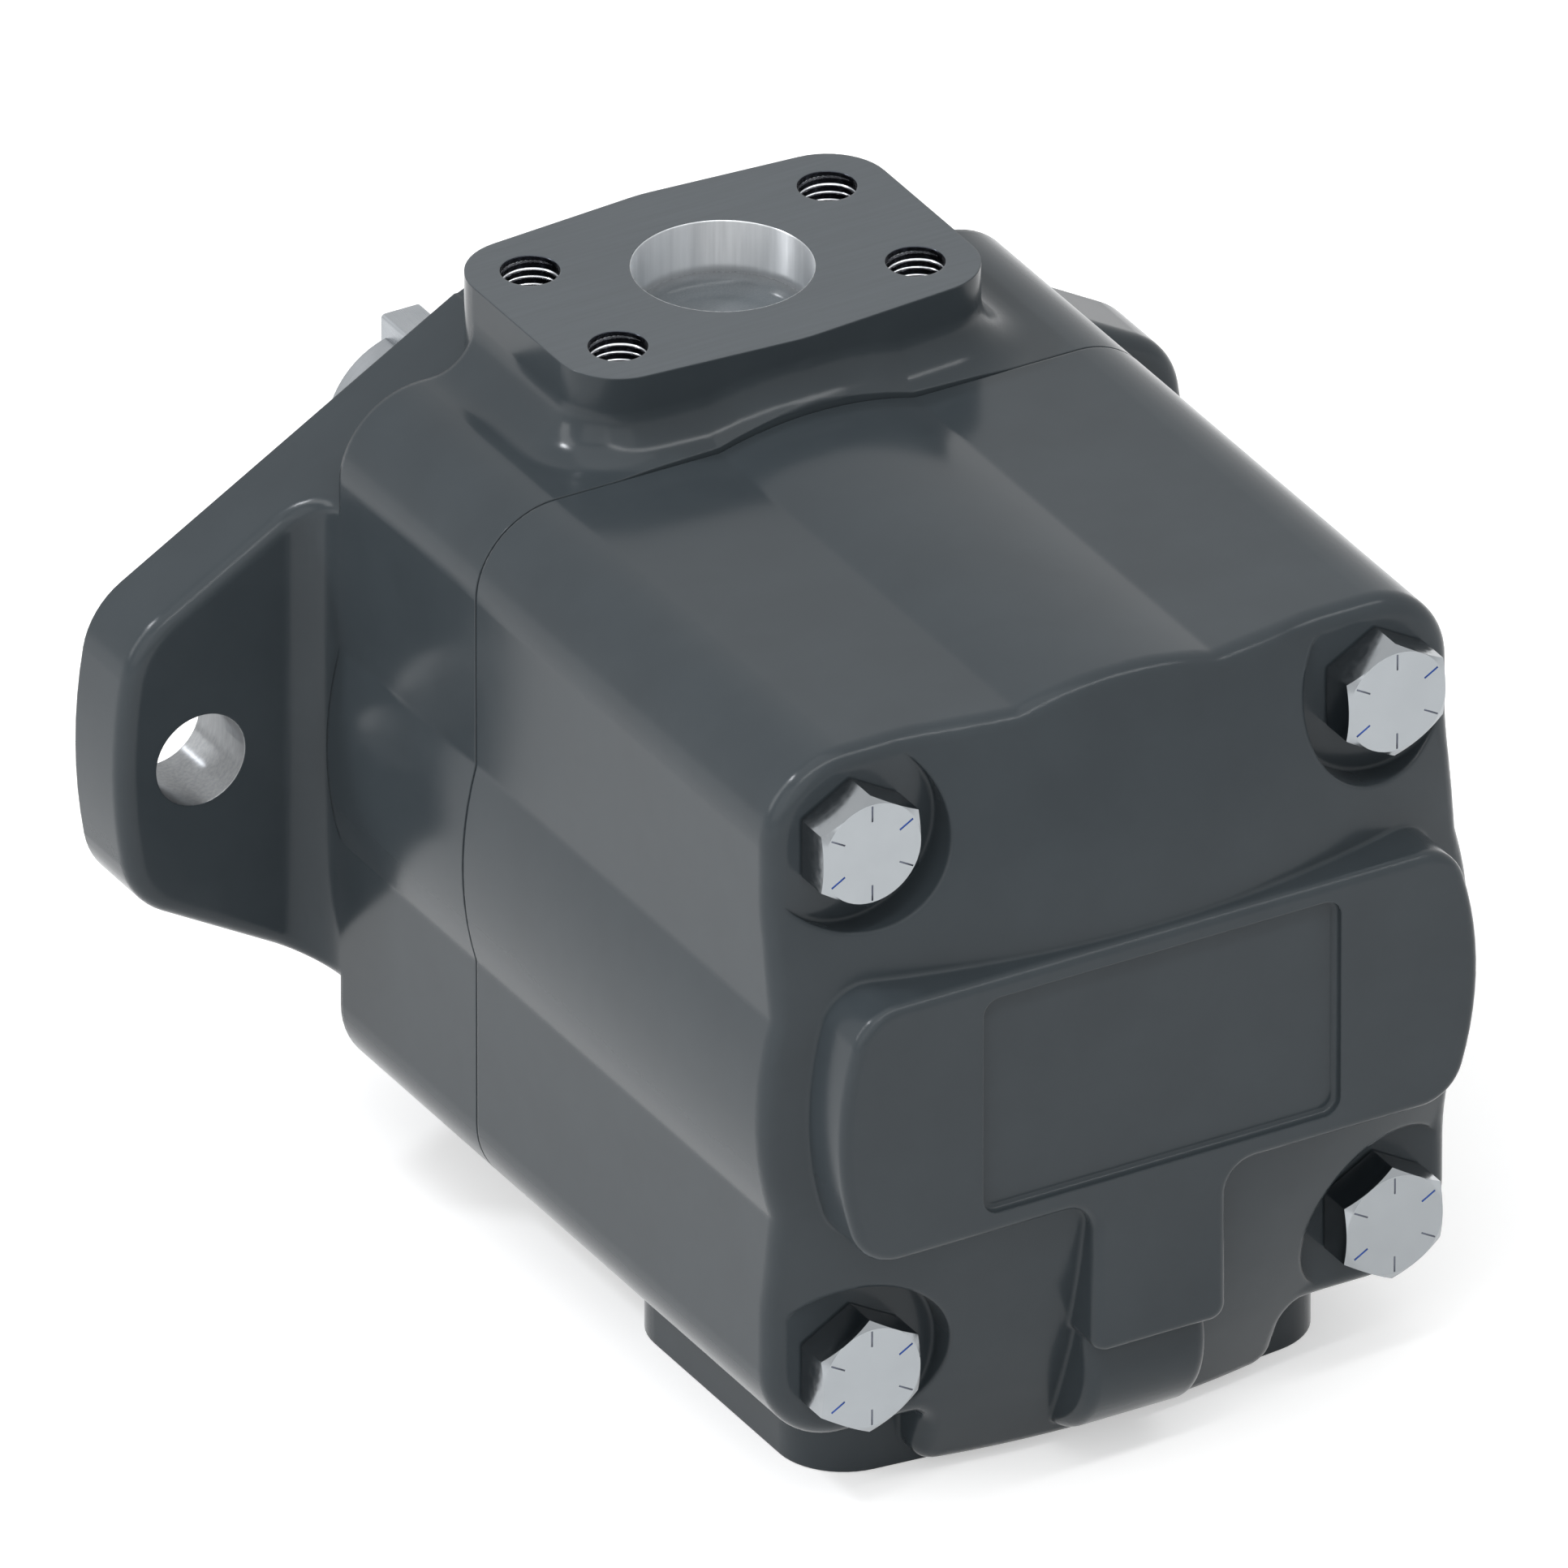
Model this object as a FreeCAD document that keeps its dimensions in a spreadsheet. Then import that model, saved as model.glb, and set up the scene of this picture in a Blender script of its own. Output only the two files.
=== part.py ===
import FreeCAD, Part
import math
import os
import Sketcher
from FreeCAD import Placement, Rotation, Vector

# Balanced vane pump with a cartridge between a front body and a rear inlet cover.
# Millimetres. The origin lies on the shaft axis in the mounting face. +Y points out of
# the drive end, +Z to the outlet, and +X to the right of someone facing the rear cover.
# Lengths named "..._y" are distances behind the mounting face, along -Y.

DIMENSIONS = (
    # Rotor, cam contour and cartridge, outward from the rotor
    ("rotor_radius", 38.5, "rotor radius"),
    ("rotor_gap", 0.5, "gap between the rotor and the narrow places of the cam contour"),
    ("cam_lift", 4.6, "rise of the cam contour from its narrow to its wide places"),
    ("cam_dwell", 16, "half angle of each dwell of the contour, degrees"),
    ("cam_width", 38, "width of the cam ring"),
    ("pin_wall", 5.9, "from the wide places to the circle of pins and screws"),
    ("pin_inset", 5.5, "from that circle to the outside of the cam ring"),
    ("plate_rise", 0.5, "side plates beyond the cam ring"),
    ("side_plate_thick", 3, "thickness of a side plate"),
    ("slot_depth", 14.3, "depth of a vane slot"),
    ("slot_root", 2.2, "radius of the hole along the slot floor"),
    ("vane_thick", 3.2, "vane thickness"),
    ("vane_gap", 0.2, "gap drawn between the vane tips and the narrow places"),
    ("vane_room", 1.6, "room below a vane, drawn in"),
    ("vane_edge", 1.1, "rounding of the vane tips"),
    ("insert_width", 12, "width of a vane insert"),
    ("insert_height", 5.4, "height of a vane insert"),
    ("insert_room", 2, "room above an insert in its vane"),
    ("kidney_half", 3, "half width of a kidney"),
    ("kidney_span", 20, "half span of a kidney, degrees"),
    ("inlet_plate_thick", 20, "thickness of the inlet plate"),
    ("bushing_thick", 3.2, "wall of the rear bushing"),
    ("bushing_length", 20, "length of the rear bushing"),
    ("pin_radius", 2.5, "dowel pin radius"),
    ("pin_depth", 8, "depth of the pins in the outer plates"),
    ("screw_head", 4.25, "radius of a cartridge screw head"),
    ("screw_head_height", 5, "height of a cartridge screw head"),
    ("screw_socket", 2, "half width of the hexagon socket"),
    ("ring_groove_depth", 3, "depth of the O-ring groove in the outlet plate"),
    ("oring_gap", 0.16, "room of that O-ring in its groove"),
    ("backup_width", 1.4, "width of the backup ring"),
    # Castings around the cartridge, outward
    ("cavity_gap", 2, "gap between the side plates and the cavity of the cover"),
    ("plenum_depth", 4, "inlet plenum beyond the cavity"),
    ("register_rise", 1.5, "register bore of the front body beyond the cavity"),
    ("register_step", 5, "outlet chamber inside the register bore"),
    ("gland_width", 3.4, "width of the groove of the joint O-ring"),
    ("gland_depth", 3, "depth of that groove"),
    ("section_wall", 4.8, "from that groove to the flats of the square section"),
    ("section_corner", 15.65, "corner radius of the section"),
    ("bulge_rise", 2.7, "round belly that stands proud of the four flats"),
    ("bulge_blend", 4, "blend between belly and flat"),
    ("parting_gap", 0.35, "width of the relief line at the joint"),
    ("parting_depth", 0.5, "depth of the relief line at the joint"),
    # Mounting flange and pilot
    ("flange_thick", 15.9, "thickness of the two ears"),
    ("neck_length", 7.3, "from the ears to the front end of the square section"),
    ("flange_rise", 6.6, "round middle of the flange beyond the flats"),
    ("ear_slope", 30, "slope of the ear sides, degrees"),
    ("mount_half", 90.5, "mounting hole centre from the shaft axis"),
    ("mount_hole_radius", 8.75, "mounting hole radius"),
    ("ear_wall", 15.7, "from the mounting hole centre to the end of the ear"),
    ("ear_corner", 15.55, "corner radius of an ear"),
    ("ear_edge", 3, "rounding of the rear edge of an ear"),
    ("ear_root", 6.9, "fillet from the back of an ear into the side of the body"),
    ("pilot_radius", 63.5, "pilot radius"),
    ("pilot_length", 12.7, "pilot height above the mounting face"),
    ("pilot_chamfer", 1, "chamfer of the pilot"),
    # Outlet port pad
    ("outlet_rise", 15.35, "outlet face above the flat of the section"),
    ("outlet_y", 38.1, "outlet centre behind the mounting face"),
    ("outlet_bore", 15.875, "outlet bore radius"),
    ("outlet_depth", 13, "depth of the outlet bore"),
    ("outlet_floor", 3.5, "fillet around the floor of the outlet bore"),
    ("passage_radius", 9.5, "passage from that floor to the outlet chamber"),
    ("passage_overlap", 4, "reach of the passage into the outlet chamber"),
    ("outlet_bolt_x", 29.35, "half bolt spacing across the shaft"),
    ("outlet_bolt_y", 15.1, "half bolt spacing along the shaft"),
    ("outlet_corner", 11.3, "corner radius of the outlet pad"),
    ("outlet_round", 28.575, "round middle of the outlet pad"),
    ("outlet_tap_radius", 5.2, "tapped hole radius"),
    ("outlet_tap_depth", 26, "tapped hole depth"),
    ("saddle_radius", 8.5, "fillet from the outlet pad into the body"),
    ("joint_wall", 3.425, "from the outlet pad to the joint"),
    ("pad_root", 4, "depth at which the port pads start below the flats"),
    # Inlet port pad
    ("inlet_rise", 15.35, "inlet face below the flat of the section"),
    ("inlet_lead", 55.3, "inlet centre behind the joint"),
    ("inlet_bore", 25.4, "inlet bore radius"),
    ("inlet_overlap", 8, "reach of the inlet bore inside the cavity radius"),
    ("inlet_bolt_x", 38.9, "half bolt spacing across the shaft"),
    ("inlet_bolt_y", 21.43, "half bolt spacing along the shaft"),
    ("inlet_corner", 12.7, "corner radius of the inlet pad"),
    ("inlet_round", 38.1, "round middle of the inlet pad"),
    ("inlet_tap_radius", 5.9, "tapped hole radius"),
    ("inlet_tap_depth", 27, "tapped hole depth"),
    ("plenum_margin", 1.2, "plenum beyond the inlet bore, along the shaft"),
    ("tail_depth", 8, "bore for the hub of the inlet plate, behind the cavity"),
    ("tail_wall", 9.3, "from the rear journal to that bore"),
    # Rear face of the cover
    ("cover_tail", 61.6, "crown of the dome behind the inlet centre"),
    ("dome_radius", 180, "radius of the dome"),
    ("dome_blend", 8, "blend between the dome and the bolt seats"),
    ("seat_drop", 16.5, "seats of the cover bolts in front of the crown"),
    ("spot_radius", 16.7, "spot face around a cover bolt"),
    ("cover_edge", 3.6, "rounding of the rear edge of the cover"),
    ("bar_rise", 0.9, "face of the raised bar behind the crown"),
    ("bar_inset", 4.5, "ends of the bar inside the flats"),
    ("bar_top", 26, "top of the bar above the axis"),
    ("bar_bottom", 24, "bottom of the bar below the axis"),
    ("bar_end", 64, "radius of the bowed bar ends"),
    ("bar_corner", 9, "corner radius of the bar"),
    ("bar_edge", 1.9, "rounding of the bar face"),
    ("recess_half", 35.2, "half length of the bare plate recess"),
    ("recess_over", 3.5, "from the top of the bar to the recess"),
    ("recess_under", 4.2, "from the bottom of the bar to the recess"),
    ("recess_corner", 3.2, "corner radius of the recess"),
    ("recess_depth", 1.8, "depth of the recess"),
    ("recess_edge", 0.9, "fillet around the floor of the recess"),
    ("stem_half", 13.1, "half width of the stem below the bar"),
    ("stem_length", 30, "length of the stem below the bar"),
    ("stem_corner", 3, "corner radius of the stem"),
    ("stem_root", 5.5, "fillet between stem and bar"),
    ("chute_half", 35.5, "half width of the inlet chute"),
    ("chute_rise", 13.7, "bottom of the chute below the flat of the section"),
    ("chute_overlap", 27, "reach of the chute above that flat"),
    ("chute_corner", 5, "corner radius of the chute"),
    ("chute_root", 3, "fillet between chute and cover"),
    ("nose_radius", 17.5, "radius of the nose below the stem"),
    ("nose_half", 11.8, "half length of the nose across the cover"),
    ("nose_drop", 4, "axis of the nose in front of the bolt seats"),
    ("nose_fall", 6, "axis of the nose below the stem"),
    ("nose_edge", 2.5, "rounding of the ends of the nose"),
    # Cover bolts
    ("bolt_inset", 15.6, "cover bolt centres inside the flats"),
    ("bolt_radius", 6.3, "shank radius"),
    ("bolt_clearance", 0.6, "radial clearance of the bolt holes in the cover"),
    ("thread_clearance", 0.05, "radial gap drawn in the tapped holes"),
    ("bolt_reach", 30, "thread engagement in the front body"),
    ("tap_spare", 4, "tapped hole below the bolt end"),
    ("head_flats", 19.05, "width across the flats of a head"),
    ("head_height", 7.94, "height of a head above its seat"),
    ("washer_height", 0.4, "height of the washer face"),
    ("washer_inset", 0.425, "edge of the washer face inside the flats of the head"),
    ("head_bevel", 30, "bevel of the head corners, degrees"),
    ("bolt_tip", 1.2, "bevel of the bolt end"),
    # Drive shaft and key
    ("shaft_radius", 15.875, "radius of the keyed end"),
    ("shaft_end", 73.2, "free end of the shaft in front of the mounting face"),
    ("shaft_bevel", 1.5, "bevel of the shaft ends"),
    ("journal_rise", 1.125, "seal journal beyond the keyed end"),
    ("bearing_rise", 0.5, "bearing bore beyond the seal journal"),
    ("shoulder_rise", 3.5, "shoulder beyond the bearing bore"),
    ("shoulder_width", 2.5, "width of that shoulder"),
    ("seat_lead", 2.3, "bearing seat in front of the retaining rings"),
    ("spline_drop", 1.5, "spline tips below the seal journal"),
    ("spline_height", 1.9, "height of the spline teeth"),
    ("spline_width", 3.1, "width of a spline tooth"),
    ("spline_gap", 0.06, "clearance of the spline"),
    ("neck_drop", 0.6, "relief before the spline, below its root"),
    ("neck_width", 3, "width of that relief"),
    ("tail_drop", 0.9, "rear journal below the root of the spline"),
    ("key_width", 7.94, "key width"),
    ("key_length", 32, "key length"),
    ("key_rise", 3.425, "top of the key beyond the keyed end"),
    ("key_height", 7.94, "key height"),
    ("key_edge", 0.8, "rounding of the key edges"),
    # Ball bearing and its retaining rings
    ("bearing_radius", 36, "ball bearing outer radius"),
    ("bearing_width", 17, "ball bearing width"),
    ("bearing_inset", 4.7, "front face of the bearing behind the end of the pilot"),
    ("ball_radius", 5.556, "ball radius"),
    ("race_gap", 0.08, "gap between ball and race"),
    ("race_shoulder", 3.55, "race shoulders from the circle of ball centres"),
    ("cage_thick", 3.2, "radial thickness of the cage"),
    ("cage_width", 14, "width of the cage"),
    ("cage_gap", 0.25, "gap between ball and cage"),
    ("ring_width", 1.6, "thickness of the retaining rings"),
    ("ring_depth", 3.4, "radial depth of the retaining rings"),
    ("ring_gap", 9, "opening of the retaining rings"),
    ("body_ring_depth", 1.6, "depth of the groove for the ring in the body"),
    ("shaft_ring_depth", 1.2, "depth of the groove for the ring on the shaft"),
    ("lug_radius", 2.5, "radius of the pliers lugs"),
    ("lug_hole", 1.1, "radius of the holes in the lugs"),
    # Shaft seal and the steps of the front bore
    ("seal_lead", 1, "shaft seal behind the shoulder of the shaft"),
    ("seal_step", 7, "seal bore inside the bearing bore"),
    ("seal_width", 8, "width of the shaft seal"),
    ("seal_room", 0.5, "room behind the shaft seal"),
    ("case_wall", 1.3, "sheet thickness of the seal case"),
    ("lip_gap", 0.1, "gap drawn between lip and shaft"),
    ("spring_wire", 0.8, "radius of the garter spring section"),
    ("throat_gap", 2, "bore around the shaft behind the seal"),
    ("throat_length", 5, "length of that bore"),
    ("hub_radius", 27, "bore for the hub of the outlet plate"),
    ("boss_wall", 6, "wall of the boss around that bore"),
    ("chamber_web", 5, "from the throat to the outlet chamber"),
    ("register_depth", 16.1, "depth of the register bore from the joint"),
    ("boss_gap", 6, "from the boss to the register bore"),
    ("hub_reach", 14, "hub of the outlet plate in front of the register bore"),
    # Clearances that several places share
    ("fit_gap", 0.02, "radial gap of a fit"),
    ("slide_gap", 0.05, "sliding clearance"),
    ("side_gap", 0.1, "axial gap between stacked parts"),
)
BALLS = 9
VANES = 10
SPLINE_TEETH = 14
CONTOUR_POINTS = 90


class Size:
    """A length known both as a number and as the sheet expression that drives it."""

    def __init__(self, value, text):
        self.value = float(value)
        self.text = text

    def __add__(self, other):
        other = as_size(other)
        return Size(self.value + other.value, "(%s + %s)" % (self.text, other.text))

    def __sub__(self, other):
        other = as_size(other)
        return Size(self.value - other.value, "(%s - %s)" % (self.text, other.text))

    def __mul__(self, other):
        other = as_size(other)
        return Size(self.value * other.value, "(%s * %s)" % (self.text, other.text))

    def __truediv__(self, other):
        other = as_size(other)
        return Size(self.value / other.value, "(%s / %s)" % (self.text, other.text))

    def __radd__(self, other):
        return as_size(other) + self

    def __rsub__(self, other):
        return as_size(other) - self

    def __rmul__(self, other):
        return as_size(other) * self

    def __neg__(self):
        return as_size(0) - self


def as_size(item):
    """Gives a plain number the form of a Size."""
    if isinstance(item, Size):
        return item
    return Size(item, "%.10g" % item)


def root(size):
    """Square root of a Size."""
    return Size(math.sqrt(size.value), "sqrt(%s)" % size.text)


def cosine(degrees):
    """Cosine of an angle in degrees."""
    degrees = as_size(degrees)
    return Size(math.cos(math.radians(degrees.value)), "cos(%s)" % degrees.text)


def sine(degrees):
    """Sine of an angle in degrees."""
    degrees = as_size(degrees)
    return Size(math.sin(math.radians(degrees.value)), "sin(%s)" % degrees.text)


doc = FreeCAD.newDocument("VanePump")


class SizeSheet:
    """The spreadsheet of driving dimensions, each one an attribute of this object."""

    def __init__(self, rows):
        sheet = doc.addObject("Spreadsheet::Sheet", "Sizes")
        for number, (name, value, meaning) in enumerate(rows, 1):
            sheet.set("A%d" % number, name)
            sheet.set("B%d" % number, "%g" % value)
            sheet.setAlias("B%d" % number, name)
            sheet.set("C%d" % number, meaning)
            setattr(self, name, Size(value, "Sizes." + name))
        doc.recompute()


sizes = SizeSheet(DIMENSIONS)

# Radii that follow each other outward from the rotor
sizes.cam_minor = sizes.rotor_radius + sizes.rotor_gap
sizes.cam_major = sizes.cam_minor + sizes.cam_lift
sizes.vane_tip = sizes.cam_minor - sizes.vane_gap
sizes.slot_floor = sizes.rotor_radius - sizes.slot_depth
sizes.kidney_radius = sizes.rotor_radius + sizes.kidney_half
sizes.pin_circle = sizes.cam_major + sizes.pin_wall
sizes.cam_radius = sizes.pin_circle + sizes.pin_inset
sizes.side_plate_radius = sizes.cam_radius + sizes.plate_rise
sizes.cavity_radius = sizes.side_plate_radius + sizes.cavity_gap
sizes.plenum_radius = sizes.cavity_radius + sizes.plenum_depth
sizes.register_radius = sizes.cavity_radius + sizes.register_rise
sizes.chamber_radius = sizes.register_radius - sizes.register_step
sizes.gland_radius = sizes.register_radius + sizes.gland_width
sizes.oring_wire = (sizes.ring_groove_depth - sizes.oring_gap) / 2

# Outline of the castings, looking along the shaft
sizes.section_half = sizes.gland_radius + sizes.section_wall
sizes.bulge_radius = sizes.section_half + sizes.bulge_rise
sizes.flange_radius = sizes.section_half + sizes.flange_rise
sizes.ear_reach = sizes.mount_half + sizes.ear_wall
sizes.outlet_face = sizes.section_half + sizes.outlet_rise
sizes.inlet_face = sizes.section_half + sizes.inlet_rise
sizes.chute_bottom = sizes.section_half + sizes.chute_rise
sizes.bolt_half = sizes.section_half - sizes.bolt_inset
sizes.bar_half = sizes.section_half - sizes.bar_inset
sizes.stem_bottom = sizes.bar_bottom + sizes.stem_length
sizes.nose_z = sizes.stem_bottom + sizes.nose_fall
sizes.washer_radius = sizes.head_flats / 2 - sizes.washer_inset

# Radii of the shaft and of what sits on it
sizes.journal_radius = sizes.shaft_radius + sizes.journal_rise
sizes.bearing_bore = sizes.journal_radius + sizes.bearing_rise
sizes.shoulder_radius = sizes.bearing_bore + sizes.shoulder_rise
sizes.spline_radius = sizes.journal_radius - sizes.spline_drop
sizes.spline_root = sizes.spline_radius - sizes.spline_height
sizes.neck_radius = sizes.spline_root - sizes.neck_drop
sizes.tail_journal = sizes.spline_root - sizes.tail_drop
sizes.tail_radius = sizes.tail_journal + sizes.tail_wall
sizes.key_top = sizes.shaft_radius + sizes.key_rise
sizes.pitch_radius = (sizes.bearing_bore + sizes.bearing_radius) / 2
sizes.inner_shoulder = sizes.pitch_radius - sizes.race_shoulder
sizes.outer_shoulder = sizes.pitch_radius + sizes.race_shoulder
sizes.body_ring_groove = sizes.bearing_radius + sizes.body_ring_depth
sizes.shaft_ring_groove = sizes.bearing_bore - sizes.shaft_ring_depth
sizes.seal_radius = sizes.bearing_radius - sizes.seal_step
sizes.throat_radius = sizes.journal_radius + sizes.throat_gap
sizes.boss_radius = sizes.hub_radius + sizes.boss_wall

# Distances behind the mounting face
sizes.front_y = sizes.flange_thick + sizes.neck_length
sizes.parting_y = sizes.outlet_y + sizes.outlet_round + sizes.joint_wall
sizes.inlet_y = sizes.parting_y + sizes.inlet_lead
sizes.dome_y = sizes.inlet_y + sizes.cover_tail
sizes.seat_y = sizes.dome_y - sizes.seat_drop
sizes.bar_y = sizes.dome_y + sizes.bar_rise
sizes.nose_y = sizes.seat_y - sizes.nose_drop
sizes.bearing_y = sizes.bearing_width + sizes.bearing_inset - sizes.pilot_length
sizes.seal_y = sizes.bearing_y + sizes.shoulder_width + sizes.seal_lead
sizes.seal_seat_y = sizes.seal_y + sizes.seal_width + sizes.seal_room
sizes.hub_front_y = sizes.seal_seat_y + sizes.throat_length
sizes.chamber_front_y = sizes.hub_front_y + sizes.chamber_web
sizes.register_y = sizes.parting_y - sizes.register_depth
sizes.boss_y = sizes.register_y - sizes.boss_gap
sizes.outlet_hub_y = sizes.register_y - sizes.hub_reach
sizes.plenum_front_y = sizes.inlet_y - sizes.inlet_bore - sizes.plenum_margin
sizes.cavity_y = sizes.inlet_y + sizes.inlet_bore + sizes.plenum_margin
sizes.tail_y = sizes.cavity_y + sizes.tail_depth
sizes.ring_y = sizes.bearing_y - sizes.bearing_width - sizes.side_gap - sizes.ring_width
sizes.cam_front_y = sizes.parting_y + sizes.side_plate_thick
sizes.cam_back_y = sizes.cam_front_y + sizes.cam_width
sizes.plate_front_y = sizes.cam_back_y + sizes.side_plate_thick
sizes.plate_back_y = sizes.plate_front_y + sizes.inlet_plate_thick

# How far a cutting profile starts outside the metal, and a length beyond every outline
OVERCUT = as_size(1)
ROOM = sizes.ear_reach * 2


def bind(item, path, size):
    """Drives one property of an object by a size."""
    item.setExpression(path, as_size(size).text)


def new_body(label):
    """An empty body that becomes the sub-part of that name."""
    body = doc.addObject("PartDesign::Body", label)
    body.Label = label
    return body


def origin_item(body, role):
    """A plane or axis of the body's own origin."""
    return next(item for item in body.Origin.OriginFeatures if item.Role == role)


def settle(feature):
    """Recomputes and stops on a feature that failed."""
    doc.recompute()
    if {"Invalid", "Error"} & set(feature.State) or feature.Shape.isNull():
        raise RuntimeError("%s failed" % feature.Name)
    return feature


def new_sketch(body, name, plane, offset=0):
    """A sketch on one of the body's origin planes, moved along the plane's normal."""
    sketch = body.newObject("Sketcher::SketchObject", "%s_%s_sketch" % (body.Name, name))
    sketch.AttachmentSupport = (origin_item(body, plane), [""])
    sketch.MapMode = "FlatFace"
    sketch.AttachmentOffset = Placement(Vector(0, 0, as_size(offset).value), Rotation())
    bind(sketch, "AttachmentOffset.Base.z", offset)
    return sketch


def hold(sketch, kind, *target):
    """Adds one dimension to a sketch; its last item is the size."""
    size = as_size(target[-1])
    number = sketch.addConstraint(Sketcher.Constraint(kind, *target[:-1], size.value))
    bind(sketch, "Constraints[%d]" % number, size)


def pin(sketch, item, point, across, up):
    """Fixes one point of a sketch by its two coordinates."""
    for kind, axis, size in (("DistanceX", -2, across), ("DistanceY", -1, up)):
        if as_size(size).text == "0":
            sketch.addConstraint(Sketcher.Constraint("PointOnObject", item, point, axis))
        else:
            hold(sketch, kind, -1, 1, item, point, size)


def flat(across, up):
    """A point of a sketch as a vector."""
    return Vector(as_size(across).value, as_size(up).value, 0)


def circle(sketch, across, up, radius):
    """A circle with its centre and radius driven by sizes."""
    radius = as_size(radius)
    item = sketch.addGeometry(Part.Circle(flat(across, up), Vector(0, 0, 1), radius.value))
    pin(sketch, item, 3, across, up)
    hold(sketch, "Radius", item, radius)
    return sketch


def polygon(sketch, corners):
    """A closed outline of straight lines."""
    count = len(corners)
    items = []
    for number, corner in enumerate(corners):
        following = corners[(number + 1) % count]
        items.append(sketch.addGeometry(Part.LineSegment(flat(*corner), flat(*following))))
    for number, corner in enumerate(corners):
        following = items[(number + 1) % count]
        sketch.addConstraint(Sketcher.Constraint("Coincident", items[number], 2, following, 1))
        pin(sketch, items[number], 1, *corner)
    return sketch


def rectangle(sketch, left, right, low, high):
    """A closed rectangle between two widths and two heights."""
    return polygon(sketch, ((left, low), (right, low), (right, high), (left, high)))


def hull(sketch, circles):
    """The outline of a belt around circles, listed counter-clockwise."""
    count = len(circles)
    angles = []
    for number in range(count):
        across, up, radius = (as_size(item).value for item in circles[number])
        next_across, next_up, next_radius = (
            as_size(item).value for item in circles[(number + 1) % count]
        )
        run = math.hypot(next_across - across, next_up - up)
        heading = math.atan2(next_up - up, next_across - across)
        angles.append(heading - math.acos((radius - next_radius) / run))
    arcs = []
    for number, (across, up, radius) in enumerate(circles):
        whole = Part.Circle(flat(across, up), Vector(0, 0, 1), as_size(radius).value)
        start, end = angles[number - 1], angles[number]
        while end < start:
            end += 2 * math.pi
        arcs.append(sketch.addGeometry(Part.ArcOfCircle(whole, start, end)))
    for number in range(count):
        across, up, radius = circles[number]
        following = (number + 1) % count
        next_across, next_up, next_radius = circles[following]
        aim = Vector(math.cos(angles[number]), math.sin(angles[number]), 0)
        line = sketch.addGeometry(
            Part.LineSegment(
                flat(across, up) + aim * as_size(radius).value,
                flat(next_across, next_up) + aim * as_size(next_radius).value,
            )
        )
        pin(sketch, arcs[number], 3, across, up)
        hold(sketch, "Radius", arcs[number], radius)
        sketch.addConstraint(Sketcher.Constraint("Tangent", arcs[number], 2, line, 1))
        sketch.addConstraint(Sketcher.Constraint("Tangent", line, 2, arcs[following], 1))
    return sketch


def four_ways(across, up):
    """The four points at plus and minus two distances, counter-clockwise."""
    return ((across, up), (-across, up), (-across, -up), (across, -up))


def finish_feature(body, feature, sketch, length, reverse):
    """Gives a pad or pocket its profile, length and direction."""
    feature.Profile = sketch
    bind(feature, "Length", length)
    feature.Reversed = reverse
    body.Tip = feature
    return settle(feature)


def pad(body, name, sketch, length, reverse=False):
    """Adds material along the sketch's normal."""
    feature = body.newObject("PartDesign::Pad", "%s_%s" % (body.Name, name))
    return finish_feature(body, feature, sketch, length, reverse)


def check_cut(before, feature):
    """Stops when a cut removed nothing."""
    if feature.Shape.Volume >= before:
        raise RuntimeError("%s cut nothing" % feature.Name)
    return feature


def pocket(body, name, sketch, length, reverse=False):
    """Removes material against the sketch's normal, or along it when reversed."""
    before = body.Tip.Shape.Volume
    feature = body.newObject("PartDesign::Pocket", "%s_%s" % (body.Name, name))
    return check_cut(before, finish_feature(body, feature, sketch, length, reverse))


def turn(body, name, sketch, kind="PartDesign::Revolution"):
    """Turns a profile of (y, radius) points about the shaft axis."""
    feature = body.newObject(kind, "%s_%s" % (body.Name, name))
    feature.Profile = sketch
    feature.ReferenceAxis = (sketch, ["H_Axis"])
    feature.Angle = 360
    body.Tip = feature
    return settle(feature)


def groove(body, name, sketch):
    """Cuts a turned profile out of the body."""
    before = body.Tip.Shape.Volume
    return check_cut(before, turn(body, name, sketch, "PartDesign::Groove"))


def middle(edge):
    """The point half way along an edge."""
    return edge.valueAt((edge.FirstParameter + edge.LastParameter) / 2)


# Margin for telling that a point lies at a size, and the slope of an upright edge
TOUCH = 0.02
STEEP = 0.9


def near(value, size, margin=TOUCH):
    """True when a number lies at a size."""
    return abs(value - as_size(size).value) < margin


def dress(body, name, kind, wanted, size):
    """Rounds or bevels the edges of the body that the test picks."""
    base = body.Tip
    names = ["Edge%d" % (n + 1) for n, edge in enumerate(base.Shape.Edges) if wanted(edge)]
    feature = body.newObject(kind, "%s_%s" % (body.Name, name))
    feature.Base = (base, names)
    bind(feature, "Size" if kind.endswith("Chamfer") else "Radius", size)
    body.Tip = feature
    return settle(feature)


def fillet(body, name, wanted, radius):
    """Rounds the edges that the test picks."""
    return dress(body, name, "PartDesign::Fillet", wanted, radius)


def chamfer(body, name, wanted, size):
    """Bevels the edges that the test picks."""
    return dress(body, name, "PartDesign::Chamfer", wanted, size)


def runs_along_y(edge):
    """True for a straight edge parallel to the shaft."""
    return edge.Curve.TypeId == "Part::GeomLine" and abs(edge.Curve.Direction.y) > 0.999


def section_corners(radius):
    """The four corner circles of the square section."""
    reach = sizes.section_half - sizes.section_corner
    return [(x, z, radius) for x, z in four_ways(reach, reach)]


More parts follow.
